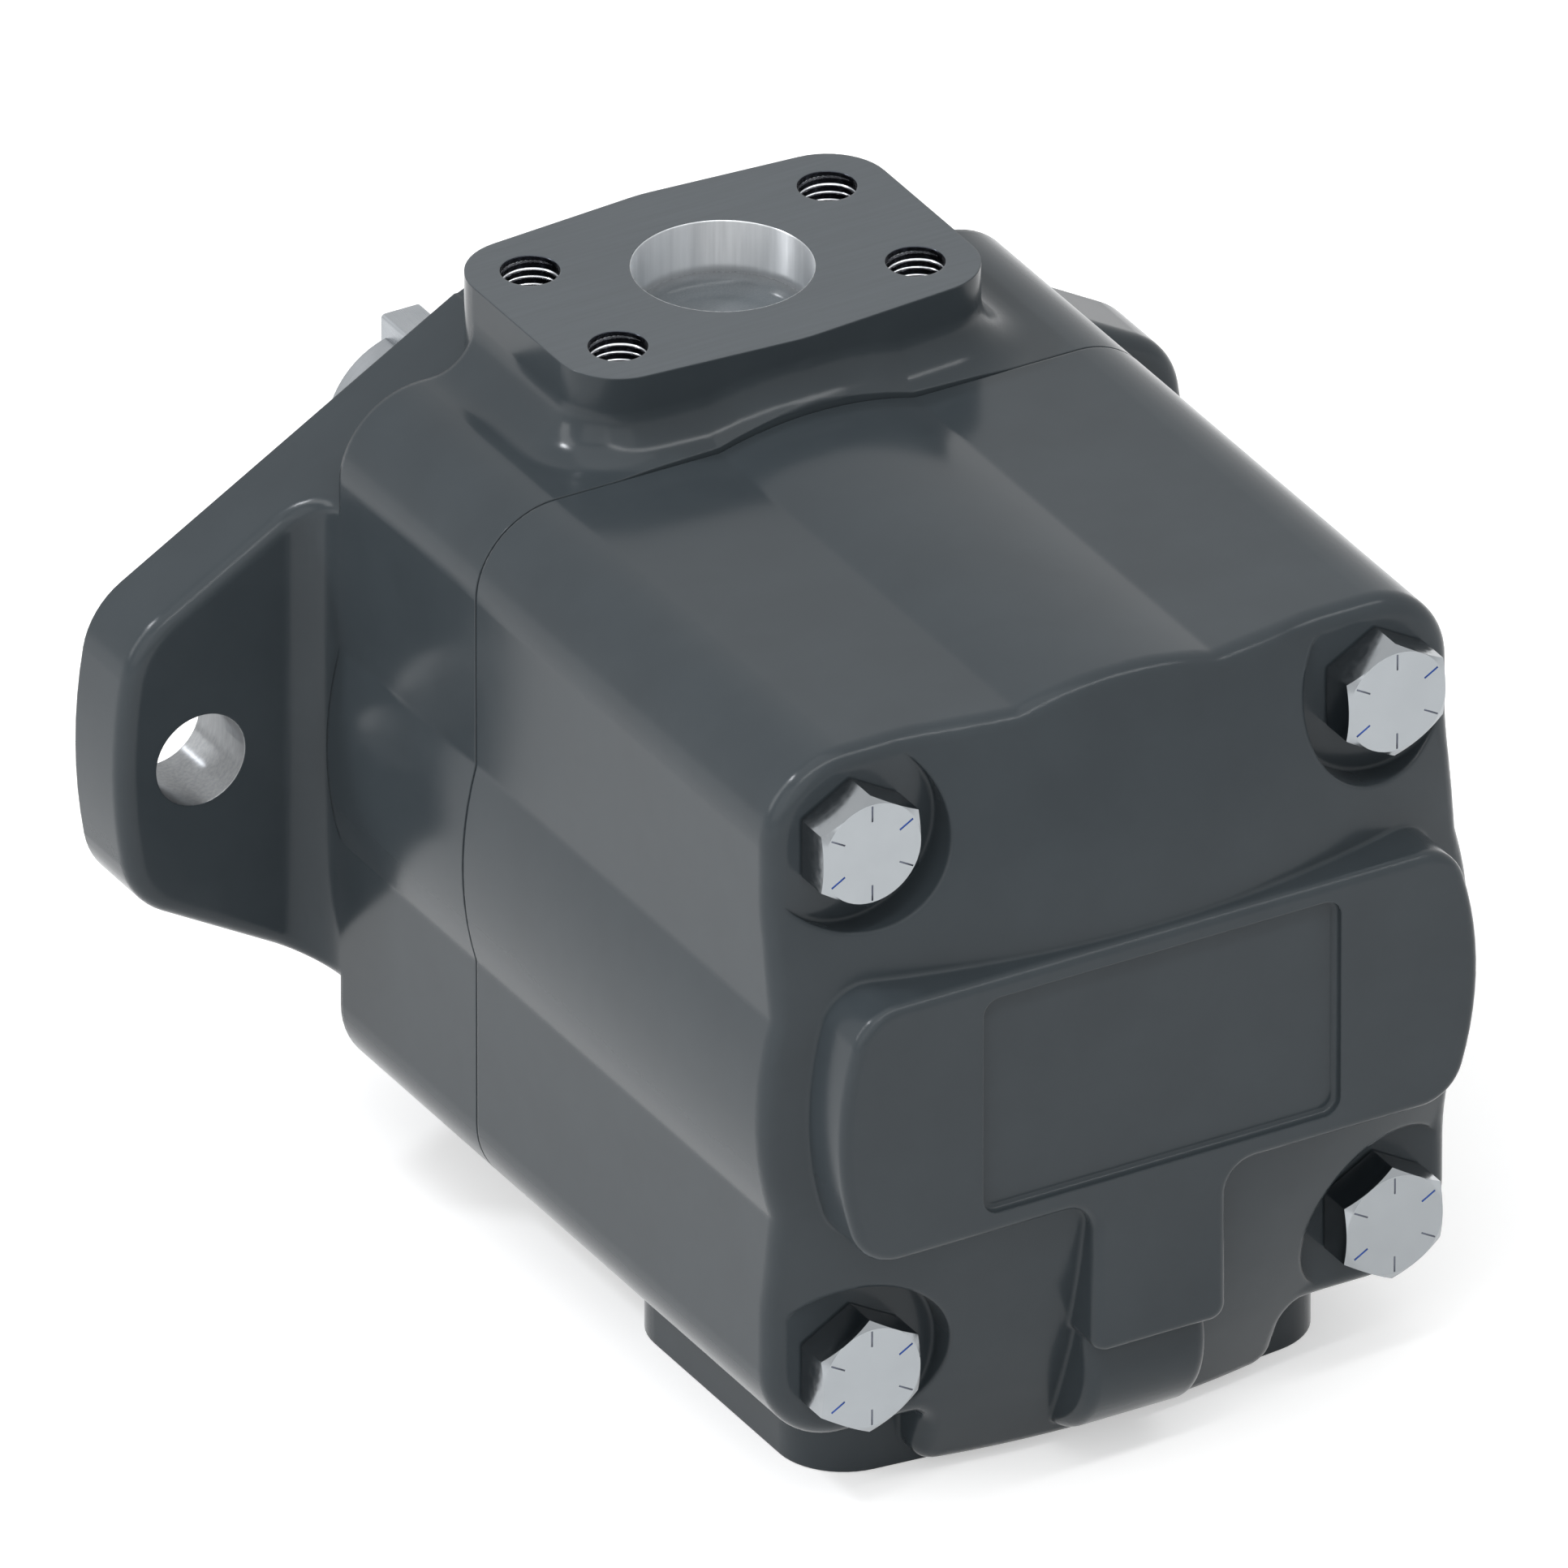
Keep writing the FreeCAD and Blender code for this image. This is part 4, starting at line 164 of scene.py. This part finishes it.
def noise(tree, source, scale, detail, stretch=(1, 1, 1)):
    """Noise in metres, drawn out along an axis where the stretch is under one."""
    mapping = tree.nodes.new("ShaderNodeMapping")
    mapping.inputs["Scale"].default_value = stretch
    tree.links.new(source, mapping.inputs["Vector"])
    texture = tree.nodes.new("ShaderNodeTexNoise")
    texture.inputs["Scale"].default_value = scale
    texture.inputs["Detail"].default_value = detail
    texture.inputs["Roughness"].default_value = 0.55
    tree.links.new(mapping.outputs[0], texture.inputs["Vector"])
    return texture.outputs[0]


def turning_marks(tree, axes):
    """Fine rings around the shaft axis, as a lathe leaves them."""
    x, y, z = axes
    rings = tree.nodes.new("ShaderNodeCombineXYZ")
    tree.links.new(math_node(tree, "SQRT", square_sum(tree, x, z)), rings.inputs[0])
    tree.links.new(y, rings.inputs[1])
    return noise(tree, rings.outputs[0], scale=1500, detail=3)


def spread(tree, value, low, high):
    """Maps a noise to a range."""
    node = tree.nodes.new("ShaderNodeMapRange")
    node.inputs["From Min"].default_value = NOISE_LOW
    node.inputs["From Max"].default_value = NOISE_HIGH
    node.inputs["To Min"].default_value = low
    node.inputs["To Max"].default_value = high
    tree.links.new(value, node.inputs["Value"])
    return node.outputs[0]


def tint(tree, value, colours):
    """A colour between a dark and a bright one, by a noise."""
    ramp = tree.nodes.new("ShaderNodeValToRGB")
    stops = zip(ramp.color_ramp.elements, (NOISE_LOW, NOISE_HIGH), colours)
    for stop, position, colour in stops:
        stop.position = position
        stop.color = (*colour, 1)
    tree.links.new(value, ramp.inputs[0])
    return ramp.outputs[0]


def mix_colour(tree, share, first, second):
    """A colour that goes from the first to the second as the share goes from 0 to 1."""
    node = tree.nodes.new("ShaderNodeMix")
    node.data_type = "RGBA"
    tree.links.new(share, node.inputs[0])
    tree.links.new(first, node.inputs[6])
    tree.links.new(second, node.inputs[7])
    return node.outputs[2]


def mix_value(tree, share, first, second):
    """A number that goes from the first to the second as the share goes from 0 to 1."""
    node = tree.nodes.new("ShaderNodeMix")
    for number, value in ((0, share), (2, first), (3, second)):
        feed(tree, node.inputs[number], value)
    return node.outputs[0]


def soft_edges(tree, radius):
    """A normal that rounds sharp edges by a radius in metres."""
    node = tree.nodes.new("ShaderNodeBevel")
    node.samples = 8
    tree.links.new(radius, node.inputs["Radius"])
    return node.outputs[0]


def bump(tree, shader, heights, normal=None):
    """Chains bumps of (height socket, strength, distance in metres)."""
    for height, strength, distance in heights:
        node = tree.nodes.new("ShaderNodeBump")
        node.inputs["Strength"].default_value = strength
        node.inputs["Distance"].default_value = distance
        tree.links.new(height, node.inputs["Height"])
        if normal is not None:
            tree.links.new(normal, node.inputs["Normal"])
        normal = node.outputs[0]
    tree.links.new(normal, shader.inputs["Normal"])


# Materials of the object; a pair of colours is the dark and the bright end of a noise

PAINT = ((0.0350, 0.0430, 0.0490), (0.0390, 0.0480, 0.0545))
# Paler paint on the faced port faces: a painted reflection, standing in for the brighter sheen of
# the pad top
FACE_PAINT_WITH_PAINTED_REFLECTION = ((0.071, 0.081, 0.089), (0.077, 0.088, 0.097))
# The bore floor, painted paler than the paint around it: painted light where the bore shades it
BORE_FLOOR_PAINTED_LIGHT = ((0.105, 0.118, 0.128), (0.125, 0.140, 0.151))
BORED_IRON = ((0.80, 0.82, 0.84), (0.86, 0.88, 0.90))
TURNED_IRON = ((0.29, 0.30, 0.31), (0.37, 0.38, 0.39))
# Near-black iron in the tapped holes: painted shade, the darkness deep in the holes
TAPPED_IRON_PAINTED_SHADE = ((0.030, 0.034, 0.042), (0.060, 0.066, 0.078))
PAINT_ROUGHNESS, CUT_ROUGHNESS = (0.15, 0.20), (0.35, 0.39)
PAINT_REFLECTION, CUT_GRAIN = 0.2, 0.95
PEEL_RELIEF, GRIT_RELIEF, RING_RELIEF = (0.05, 0.00010), (0.03, 0.00003), (0.10, 0.00003)


def grain_direction(tree, axes, upright, turned):
    """The way of the tool marks: up a port bore, around the shaft on turned faces, else along Y."""
    x, _, z = axes
    tangent = tree.nodes.new("ShaderNodeCombineXYZ")
    along = math_node(tree, "SUBTRACT", 1.0, math_node(tree, "MAXIMUM", upright, turned))
    parts = (
        times(tree, turned, z), along, math_node(tree, "SUBTRACT", upright, times(tree, turned, x)),
    )
    for part, socket in zip(parts, tangent.inputs):
        tree.links.new(part, socket)
    return tangent.outputs[0]


def casting(name, find_masks):
    """Glossy dark paint over cast iron, with cut places where masks say so, painted shade in the
    tapped holes, a painted reflection on the faced port faces and painted light on the bore floor.
    """
    material, tree, shader = new_material(name)
    source, axes = place(tree)
    masks = find_masks(tree, axes)
    cut, upright, turned = masks["cut"], masks["upright"], masks["turned"]
    blotch = noise(tree, source, scale=60, detail=4)
    peel = noise(tree, source, scale=700, detail=2)
    grit = noise(tree, source, scale=3500, detail=2)
    streak = noise(tree, source, scale=1400, detail=3, stretch=(1, 1, 0.04))
    lay = noise(tree, source, scale=1100, detail=2, stretch=(0.05, 1, 1))
    rings = turning_marks(tree, axes)

    colour = tint(tree, blotch, PAINT)
    # The faced port faces take the paler paint, a painted reflection
    colour = mix_colour(tree, masks["face_with_painted_reflection"], colour, tint(tree, lay, FACE_PAINT_WITH_PAINTED_REFLECTION))
    # Painted light on the bore floor, which the bore itself shades
    colour = mix_colour(tree, masks["floor"], colour, tint(tree, grit, BORE_FLOOR_PAINTED_LIGHT))
    metal_colour = mix_colour(
        tree, upright, tint(tree, rings, TURNED_IRON), tint(tree, streak, BORED_IRON),
    )
    colour = mix_colour(tree, cut, colour, metal_colour)
    # Painted shade in the tapped holes
    colour = mix_colour(tree, masks["tapped"], colour, tint(tree, grit, TAPPED_IRON_PAINTED_SHADE))
    tree.links.new(colour, shader.inputs["Base Color"])

    tree.links.new(either(tree, (cut, masks["tapped"])), shader.inputs["Metallic"])
    shader.inputs["Specular IOR Level"].default_value = PAINT_REFLECTION
    painted, bared = spread(tree, blotch, *PAINT_ROUGHNESS), spread(tree, streak, *CUT_ROUGHNESS)
    tree.links.new(mix_value(tree, cut, painted, bared), shader.inputs["Roughness"])
    tree.links.new(times(tree, cut, CUT_GRAIN), shader.inputs["Anisotropic"])
    tree.links.new(grain_direction(tree, axes, upright, turned), shader.inputs["Tangent"])

    heights = (
        (peel, *PEEL_RELIEF), (grit, *GRIT_RELIEF), (times(tree, rings, turned), *RING_RELIEF),
    )
    radius = mix_value(tree, masks["crisp"], CAST_EDGE, CUT_EDGE)
    bump(tree, shader, heights, soft_edges(tree, radius))
    return material


def port_masks(tree, axes, port_y, bore, tap_places, tap, side):
    """Masks of a port's bore and tapped holes, on its side of the shaft only."""
    x, y, z = axes
    y = from_centre(tree, y, port_y)
    outward = over(tree, times(tree, z, side), 0.0)
    inner = within(tree, x, y, bore + SKIN)
    taps = within(
        tree, from_pair(tree, x, tap_places[0]), from_pair(tree, y, tap_places[1]), tap + SKIN,
    )
    return times(tree, inner, outward), times(tree, taps, outward)


def body_masks(tree, axes):
    """Places of the front body: outlet, mounting holes, shaft bore, mounting face and pilot."""
    x, y, z = axes
    blind, tapped = port_masks(tree, axes, OUTLET_Y, OUTLET_BORE, OUTLET_TAPS, OUTLET_TAP, 1)
    fade = tree.nodes.new("ShaderNodeMapRange")
    fade.interpolation_type = "SMOOTHSTEP"
    fade.inputs["From Min"].default_value, fade.inputs["From Max"].default_value = BORE_FADE
    tree.links.new(z, fade.inputs["Value"])
    port = times(tree, blind, fade.outputs[0])
    ear_x = from_pair(tree, x, MOUNT_HOLE_X)
    hole = within(tree, ear_x, z, MOUNT_HOLE + SKIN)
    turned = either(tree, (within(tree, x, z, SHAFT_BORE), over(tree, y, -SKIN)))
    turned = math_node(tree, "SUBTRACT", turned, hole, clamp=True)
    below_lip = under(tree, z, SECTION_TOP + LIP_GAP)
    crisp = either(tree, (
        over(tree, z, OUTLET_FACE - CUT_REACH),
        over(tree, y, -CUT_REACH),
        times(tree, under(tree, y, JOINT_Y + CUT_REACH), below_lip),
        within(tree, ear_x, z, MOUNT_HOLE + CUT_REACH),
    ))
    return {
        "cut": either(tree, (port, hole, turned)), "tapped": tapped, "upright": port,
        "face_with_painted_reflection": over(tree, z, OUTLET_FACE - SKIN), "floor": blind, "turned": turned,
        "crisp": crisp,
    }


def cover_masks(tree, axes):
    """Places of the inlet cover: inlet, joint and plate recess."""
    x, y, z = axes
    port, tapped = port_masks(tree, axes, INLET_Y, INLET_BORE, INLET_TAPS, INLET_TAP, -1)
    beside = under(tree, math_node(tree, "ABSOLUTE", x), RECESS_HALF + CUT_REACH)
    level = times(
        tree, under(tree, z, RECESS_HIGH + CUT_REACH), over(tree, z, RECESS_LOW - CUT_REACH),
    )
    crisp = either(tree, (
        times(tree, level, beside),
        under(tree, z, INLET_FACE + CUT_REACH),
        over(tree, y, JOINT_Y - CUT_REACH),
    ))
    return {
        "cut": port, "tapped": tapped, "upright": port,
        "face_with_painted_reflection": under(tree, z, INLET_FACE + SKIN), "floor": port, "turned": nowhere(tree),
        "crisp": crisp,
    }


def metal(name, dark, bright, rough, grain=(1, 1, 1), scale=900, relief=0.12):
    """Cut or plated metal with fine tool marks along the grain."""
    material, tree, shader = new_material(name)
    source, _ = place(tree)
    marks = noise(tree, source, scale, detail=3, stretch=grain)
    cloud = noise(tree, source, scale=120, detail=3)
    smoothest, roughest, mark_depth = rough - 0.05, rough + 0.06, 0.00004
    shader.inputs["Metallic"].default_value = 1.0
    tree.links.new(tint(tree, cloud, (dark, bright)), shader.inputs["Base Color"])
    tree.links.new(spread(tree, marks, smoothest, roughest), shader.inputs["Roughness"])
    bump(tree, shader, ((marks, relief, mark_depth),))
    return material


def soft(name, dark, bright, rough):
    """Moulded rubber or plastic with a fine matt surface."""
    material, tree, shader = new_material(name)
    source, _ = place(tree)
    grain = noise(tree, source, scale=1500, detail=3)
    smoothest, roughest, relief, grain_depth = rough - 0.05, rough + 0.05, 0.15, 0.00005
    tree.links.new(tint(tree, grain, (dark, bright)), shader.inputs["Base Color"])
    tree.links.new(spread(tree, grain, smoothest, roughest), shader.inputs["Roughness"])
    bump(tree, shader, ((grain, relief, grain_depth),))
    return material


AROUND_SHAFT, ALONG_SHAFT, ALONG_VANE = (0.05, 1, 0.05), (1, 0.05, 1), (1, 0.08, 1)
MATERIALS = {
    "bolts": metal(
        "zinc_plate", (0.315, 0.334, 0.349), (0.334, 0.354, 0.370), 0.14, scale=700, relief=0.02,
    ),
    "shaft": metal(
        "ground_shaft", (0.31, 0.33, 0.35), (0.36, 0.38, 0.40), 0.22, AROUND_SHAFT, scale=1500,
    ),
    "key": metal(
        "key_steel", (0.33, 0.35, 0.37), (0.39, 0.41, 0.43), 0.28, ALONG_SHAFT, scale=1200,
    ),
    "bearing": metal(
        "bearing_steel", (0.52, 0.53, 0.54), (0.60, 0.61, 0.62), 0.12, AROUND_SHAFT, relief=0.04,
    ),
    "dark_steel": metal(
        "black_oxide", (0.035, 0.036, 0.038), (0.055, 0.056, 0.058), 0.42, scale=800,
    ),
    "iron": metal(
        "machined_iron", (0.26, 0.265, 0.27), (0.34, 0.345, 0.35), 0.40, AROUND_SHAFT, scale=1000,
    ),
    "bronze": metal(
        "bronze", (0.36, 0.20, 0.075), (0.46, 0.27, 0.11), 0.34, AROUND_SHAFT, scale=1000,
    ),
    "rotor": metal(
        "rotor_steel", (0.34, 0.36, 0.38), (0.42, 0.44, 0.46), 0.30, ALONG_VANE, scale=1100,
    ),
    "rubber": soft("rubber", (0.010, 0.010, 0.011), (0.018, 0.018, 0.019), 0.55),
    "plastic": soft("backup_plastic", (0.62, 0.60, 0.52), (0.70, 0.68, 0.60), 0.45),
    "body": casting("painted_body", body_masks),
    "cover": casting("painted_cover", cover_masks),
    "mark": metal("head_marks", (0.09, 0.10, 0.13), (0.13, 0.14, 0.17), 0.45),
    "blue_mark": metal("blued_marks", (0.025, 0.065, 0.26), (0.045, 0.095, 0.36), 0.45),
    "thread": metal(
        "thread_steel", (0.50, 0.51, 0.54), (0.62, 0.63, 0.66), 0.20, scale=1200, relief=0.05,
    ),
}
FINISH = {
    "body": ("front_body",),
    "cover": ("inlet_cover",),
    "bolts": ("cover_bolts",),
    "shaft": ("drive_shaft",),
    "key": ("shaft_key",),
    "bearing": ("bearing_inner_ring", "bearing_outer_ring", "bearing_balls"),
    "dark_steel": (
        "body_retaining_ring", "shaft_retaining_ring", "dowel_pins", "cartridge_screws",
        "seal_spring", "seal_case",
    ),
    "iron": ("outlet_plate", "inlet_plate"),
    "bronze": ("bearing_cage", "front_side_plate", "rear_side_plate", "rear_bushing"),
    "rotor": ("rotor", "cam_ring", "vane_inserts") + tuple("vane_%d" % n for n in range(1, 11)),
    "rubber": ("joint_oring", "outlet_plate_oring", "seal_lip"),
    "plastic": ("outlet_plate_backup_ring",),
}
for finish, names in FINISH.items():
    for name in names:
        mesh = nodes[name].data
        mesh.materials.clear()
        mesh.materials.append(MATERIALS[finish])


# Small pieces that only the render shows

def new_piece(name, points, faces, material):
    """A mesh piece on the housing."""
    mesh = bpy.data.meshes.new(name)
    mesh.from_pydata([tuple(point) for point in points], [], faces)
    mesh.update()
    for polygon in mesh.polygons:
        polygon.use_smooth = True
    piece = bpy.data.objects.new(name, mesh)
    scene.collection.objects.link(piece)
    mesh.materials.append(MATERIALS[material])
    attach(piece, "housing")
    return piece


# Start below the face, half width and height of a thread crest, in pitches; steps to a turn
CREST_START, CREST_HALF, CREST_RISE, TURN_STEPS = 0.6, 0.20, 0.378, 40


def thread_points(centre, radius, pitch, side):
    """The ridge of an inside thread: three points across it at each step down the hole."""
    points, faces = [], []
    count = int(THREAD_DEPTH / pitch * TURN_STEPS)
    for step in range(count + 1):
        angle = 2 * math.pi * step / TURN_STEPS
        height = centre.z - side * pitch * (CREST_START + step / TURN_STEPS)
        grow = min(1, step / TURN_STEPS, (count - step) / TURN_STEPS)
        for rise, offset in ((0.0, -CREST_HALF), (CREST_RISE * grow, 0), (0.0, CREST_HALF)):
            reach = radius + SKIN - rise * pitch
            points.append((
                centre.x + reach * math.cos(angle), centre.y + reach * math.sin(angle),
                height + offset * pitch,
            ))
        if step:
            last, now = 3 * (step - 1), 3 * step
            faces += [(last + row, last + row + 1, now + row + 1, now + row) for row in (0, 1)]
    return points, faces


def threads(name, taps, port_y, face, radius, pitch, side):
    """The thread crests of the four tapped holes of a port."""
    points, faces = [], []
    for x in (taps[0], -taps[0]):
        for y in (taps[1], -taps[1]):
            more, rings = thread_points(Vector((x, port_y + y, face)), radius, pitch, side)
            faces += [tuple(len(points) + item for item in ring) for ring in rings]
            points += more
    new_piece(name, points, faces, "thread")


def head_marks():
    """Six raised radial lines on each bolt head, two of them blued."""
    inner, outer, half, rise, sunk = 0.0062, 0.0092, 0.00014, 0.00006, 0.00001
    lines, first_angle, blued = 6, 90, (2, 5)
    points, faces, finishes = [], [], []
    for x in (BOLT_PLACE, -BOLT_PLACE):
        for z in (BOLT_PLACE, -BOLT_PLACE):
            for number in range(lines):
                angle = math.radians(first_angle + 360 / lines * number)
                along = Vector((math.cos(angle), 0, math.sin(angle)))
                across = Vector((-math.sin(angle), 0, math.cos(angle))) * half
                base = len(points)
                for y in (HEAD_TOP + sunk, HEAD_TOP - rise):
                    for reach, side in ((inner, -1), (inner, 1), (outer, 1), (outer, -1)):
                        points.append(tuple(Vector((x, y, z)) + along * reach + across * side))
                top = base + 4
                faces.append(tuple(range(top, top + 4)))
                for item in range(4):
                    after = (item + 1) % 4
                    faces.append((base + item, base + after, top + after, top + item))
                finishes += [int(number in blued)] * 5
    marks = new_piece("bolt_head_marks", points, faces, "mark")
    marks.data.materials.append(MATERIALS["blue_mark"])
    marks.data.polygons.foreach_set("material_index", finishes)


threads("outlet_threads", OUTLET_TAPS, OUTLET_Y, OUTLET_FACE, OUTLET_TAP, OUTLET_PITCH, 1)
threads("inlet_threads", INLET_TAPS, INLET_Y, INLET_FACE, INLET_TAP, INLET_PITCH, -1)
head_marks()


# Floor, world, lamps and camera

FLOOR_HALF, FLOOR_GAP = 6.0, 0.0002
FLOOR_WHITE, FLOOR_GLOW, FLOOR_ROUGHNESS, FLOOR_REFLECTION = 0.80, 0.45, 0.9, 0.1
WORLD_LIGHT, WORLD_SEEN = 0.54, 1.0
LAMP_AIM = Vector((0, -0.07, 0))
LAMPS = (
    # name, place, width and height, power in watts
    ("top_box", (-0.3, -0.2, 1.3), (1.2, 1.2), 4),
    ("left_box", (-1.2, -0.6, 0.6), (1.0, 1.0), 3),
    ("key_box", (-1.05, 0.45, 0.65), (0.35, 0.9), 4),
    ("front_strip", (0.05, -0.62, 0.95), (1.5, 0.07), 4),
    ("fill_box", (-0.69, -1.27, 0.80), (1.2, 1.2), 3),
)
GLINT_FROM, GLINT_POWER, GLINT_WIDTH = (-0.545, 0.394, 0.740), 0.70, 5
GLINT_COLOUR = (0.94, 0.96, 1.0)

# The photograph: angles in degrees, pixels, pixels to a metre, and the point in its middle,
# as distances to the right, up and ahead from the origin
VIEW_TURN, VIEW_RISE = 30, 30
PHOTO_SIDE, PHOTO_SCALE = 1932, 7210
VIEW_RIGHT, VIEW_UP, VIEW_AHEAD = 0.02954, -0.03366, -0.085
SENSOR, LENS, CLIP_START, CLIP_END = 36.0, 1650.0, 1.0, 60.0


def seen_rays(tree):
    """One for rays from the camera, a mirror or a clear surface, else zero."""
    path = tree.nodes.new("ShaderNodeLightPath").outputs
    return either(tree, [path["Is %s Ray" % kind] for kind in ("Camera", "Glossy", "Transmission")])


def pale_floor():
    """A white floor that keeps the shadow and shows white where nothing shades it."""
    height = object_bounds()[0].z - FLOOR_GAP
    corners = ((-1, -1), (1, -1), (1, 1), (-1, 1))
    mesh = bpy.data.meshes.new("floor")
    mesh.from_pydata(
        [(x * FLOOR_HALF, y * FLOOR_HALF, height) for x, y in corners], [], [(0, 1, 2, 3)],
    )
    floor = bpy.data.objects.new("floor", mesh)
    scene.collection.objects.link(floor)
    material, tree, shader = new_material("floor")
    shader.inputs["Base Color"].default_value = (FLOOR_WHITE, FLOOR_WHITE, FLOOR_WHITE, 1)
    shader.inputs["Roughness"].default_value = FLOOR_ROUGHNESS
    shader.inputs["Specular IOR Level"].default_value = FLOOR_REFLECTION
    shader.inputs["Emission Color"].default_value = (1, 1, 1, 1)
    glow = times(tree, seen_rays(tree), FLOOR_GLOW)
    tree.links.new(glow, shader.inputs["Emission Strength"])
    mesh.materials.append(material)


def white_world():
    """Soft even light, seen as white."""
    world = bpy.data.worlds.new("studio")
    scene.world = world
    world.use_nodes = True
    tree = world.node_tree
    tree.nodes.clear()
    output = tree.nodes.new("ShaderNodeOutputWorld")
    background = tree.nodes.new("ShaderNodeBackground")
    background.inputs["Color"].default_value = (1, 1, 1, 1)
    strength = mix_value(tree, seen_rays(tree), WORLD_LIGHT, WORLD_SEEN)
    tree.links.new(strength, background.inputs["Strength"])
    tree.links.new(background.outputs[0], output.inputs[0])


def new_lamp(name, kind, power, towards, place_at=(0, 0, 0)):
    """A lamp that shines along a direction."""
    data = bpy.data.lights.new(name, kind)
    data.energy = power
    item = bpy.data.objects.new(name, data)
    item.location = place_at
    item.rotation_mode = "QUATERNION"
    item.rotation_quaternion = towards.to_track_quat("-Z", "Y")
    scene.collection.objects.link(item)
    return data


def lamps():
    """Softboxes that point at the object, and a small distant light that glints on its edges."""
    for name, spot, size, power in LAMPS:
        box = new_lamp(name, "AREA", power, LAMP_AIM - Vector(spot), spot)
        box.shape = "RECTANGLE"
        box.size, box.size_y = size
    glint = new_lamp("glint", "SUN", GLINT_POWER, -Vector(GLINT_FROM))
    glint.angle = math.radians(GLINT_WIDTH)
    glint.color = GLINT_COLOUR


def photo_camera():
    """The view of the photograph: to the left of the rear face and above, from far away."""
    data = bpy.data.cameras.new("camera")
    data.type = "PERSP"
    data.sensor_width, data.lens = SENSOR, LENS
    data.clip_start, data.clip_end = CLIP_START, CLIP_END
    turn, rise = math.radians(VIEW_TURN), math.radians(VIEW_RISE)
    level = Vector((math.sin(turn), math.cos(turn), 0))
    ahead = level * math.cos(rise) - Vector((0, 0, math.sin(rise)))
    above = level * math.sin(rise) + Vector((0, 0, math.cos(rise)))
    right = ahead.cross(above)
    distance = PHOTO_SIDE / PHOTO_SCALE * LENS / SENSOR
    target = right * VIEW_RIGHT + above * VIEW_UP + ahead * VIEW_AHEAD
    camera = bpy.data.objects.new("camera", data)
    turned = Matrix((right, above, -ahead)).transposed().to_4x4()
    camera.matrix_world = Matrix.Translation(target - ahead * distance) @ turned
    scene.collection.objects.link(camera)
    scene.camera = camera


pale_floor()
white_world()
lamps()
photo_camera()
scene.view_settings.view_transform = "Standard"
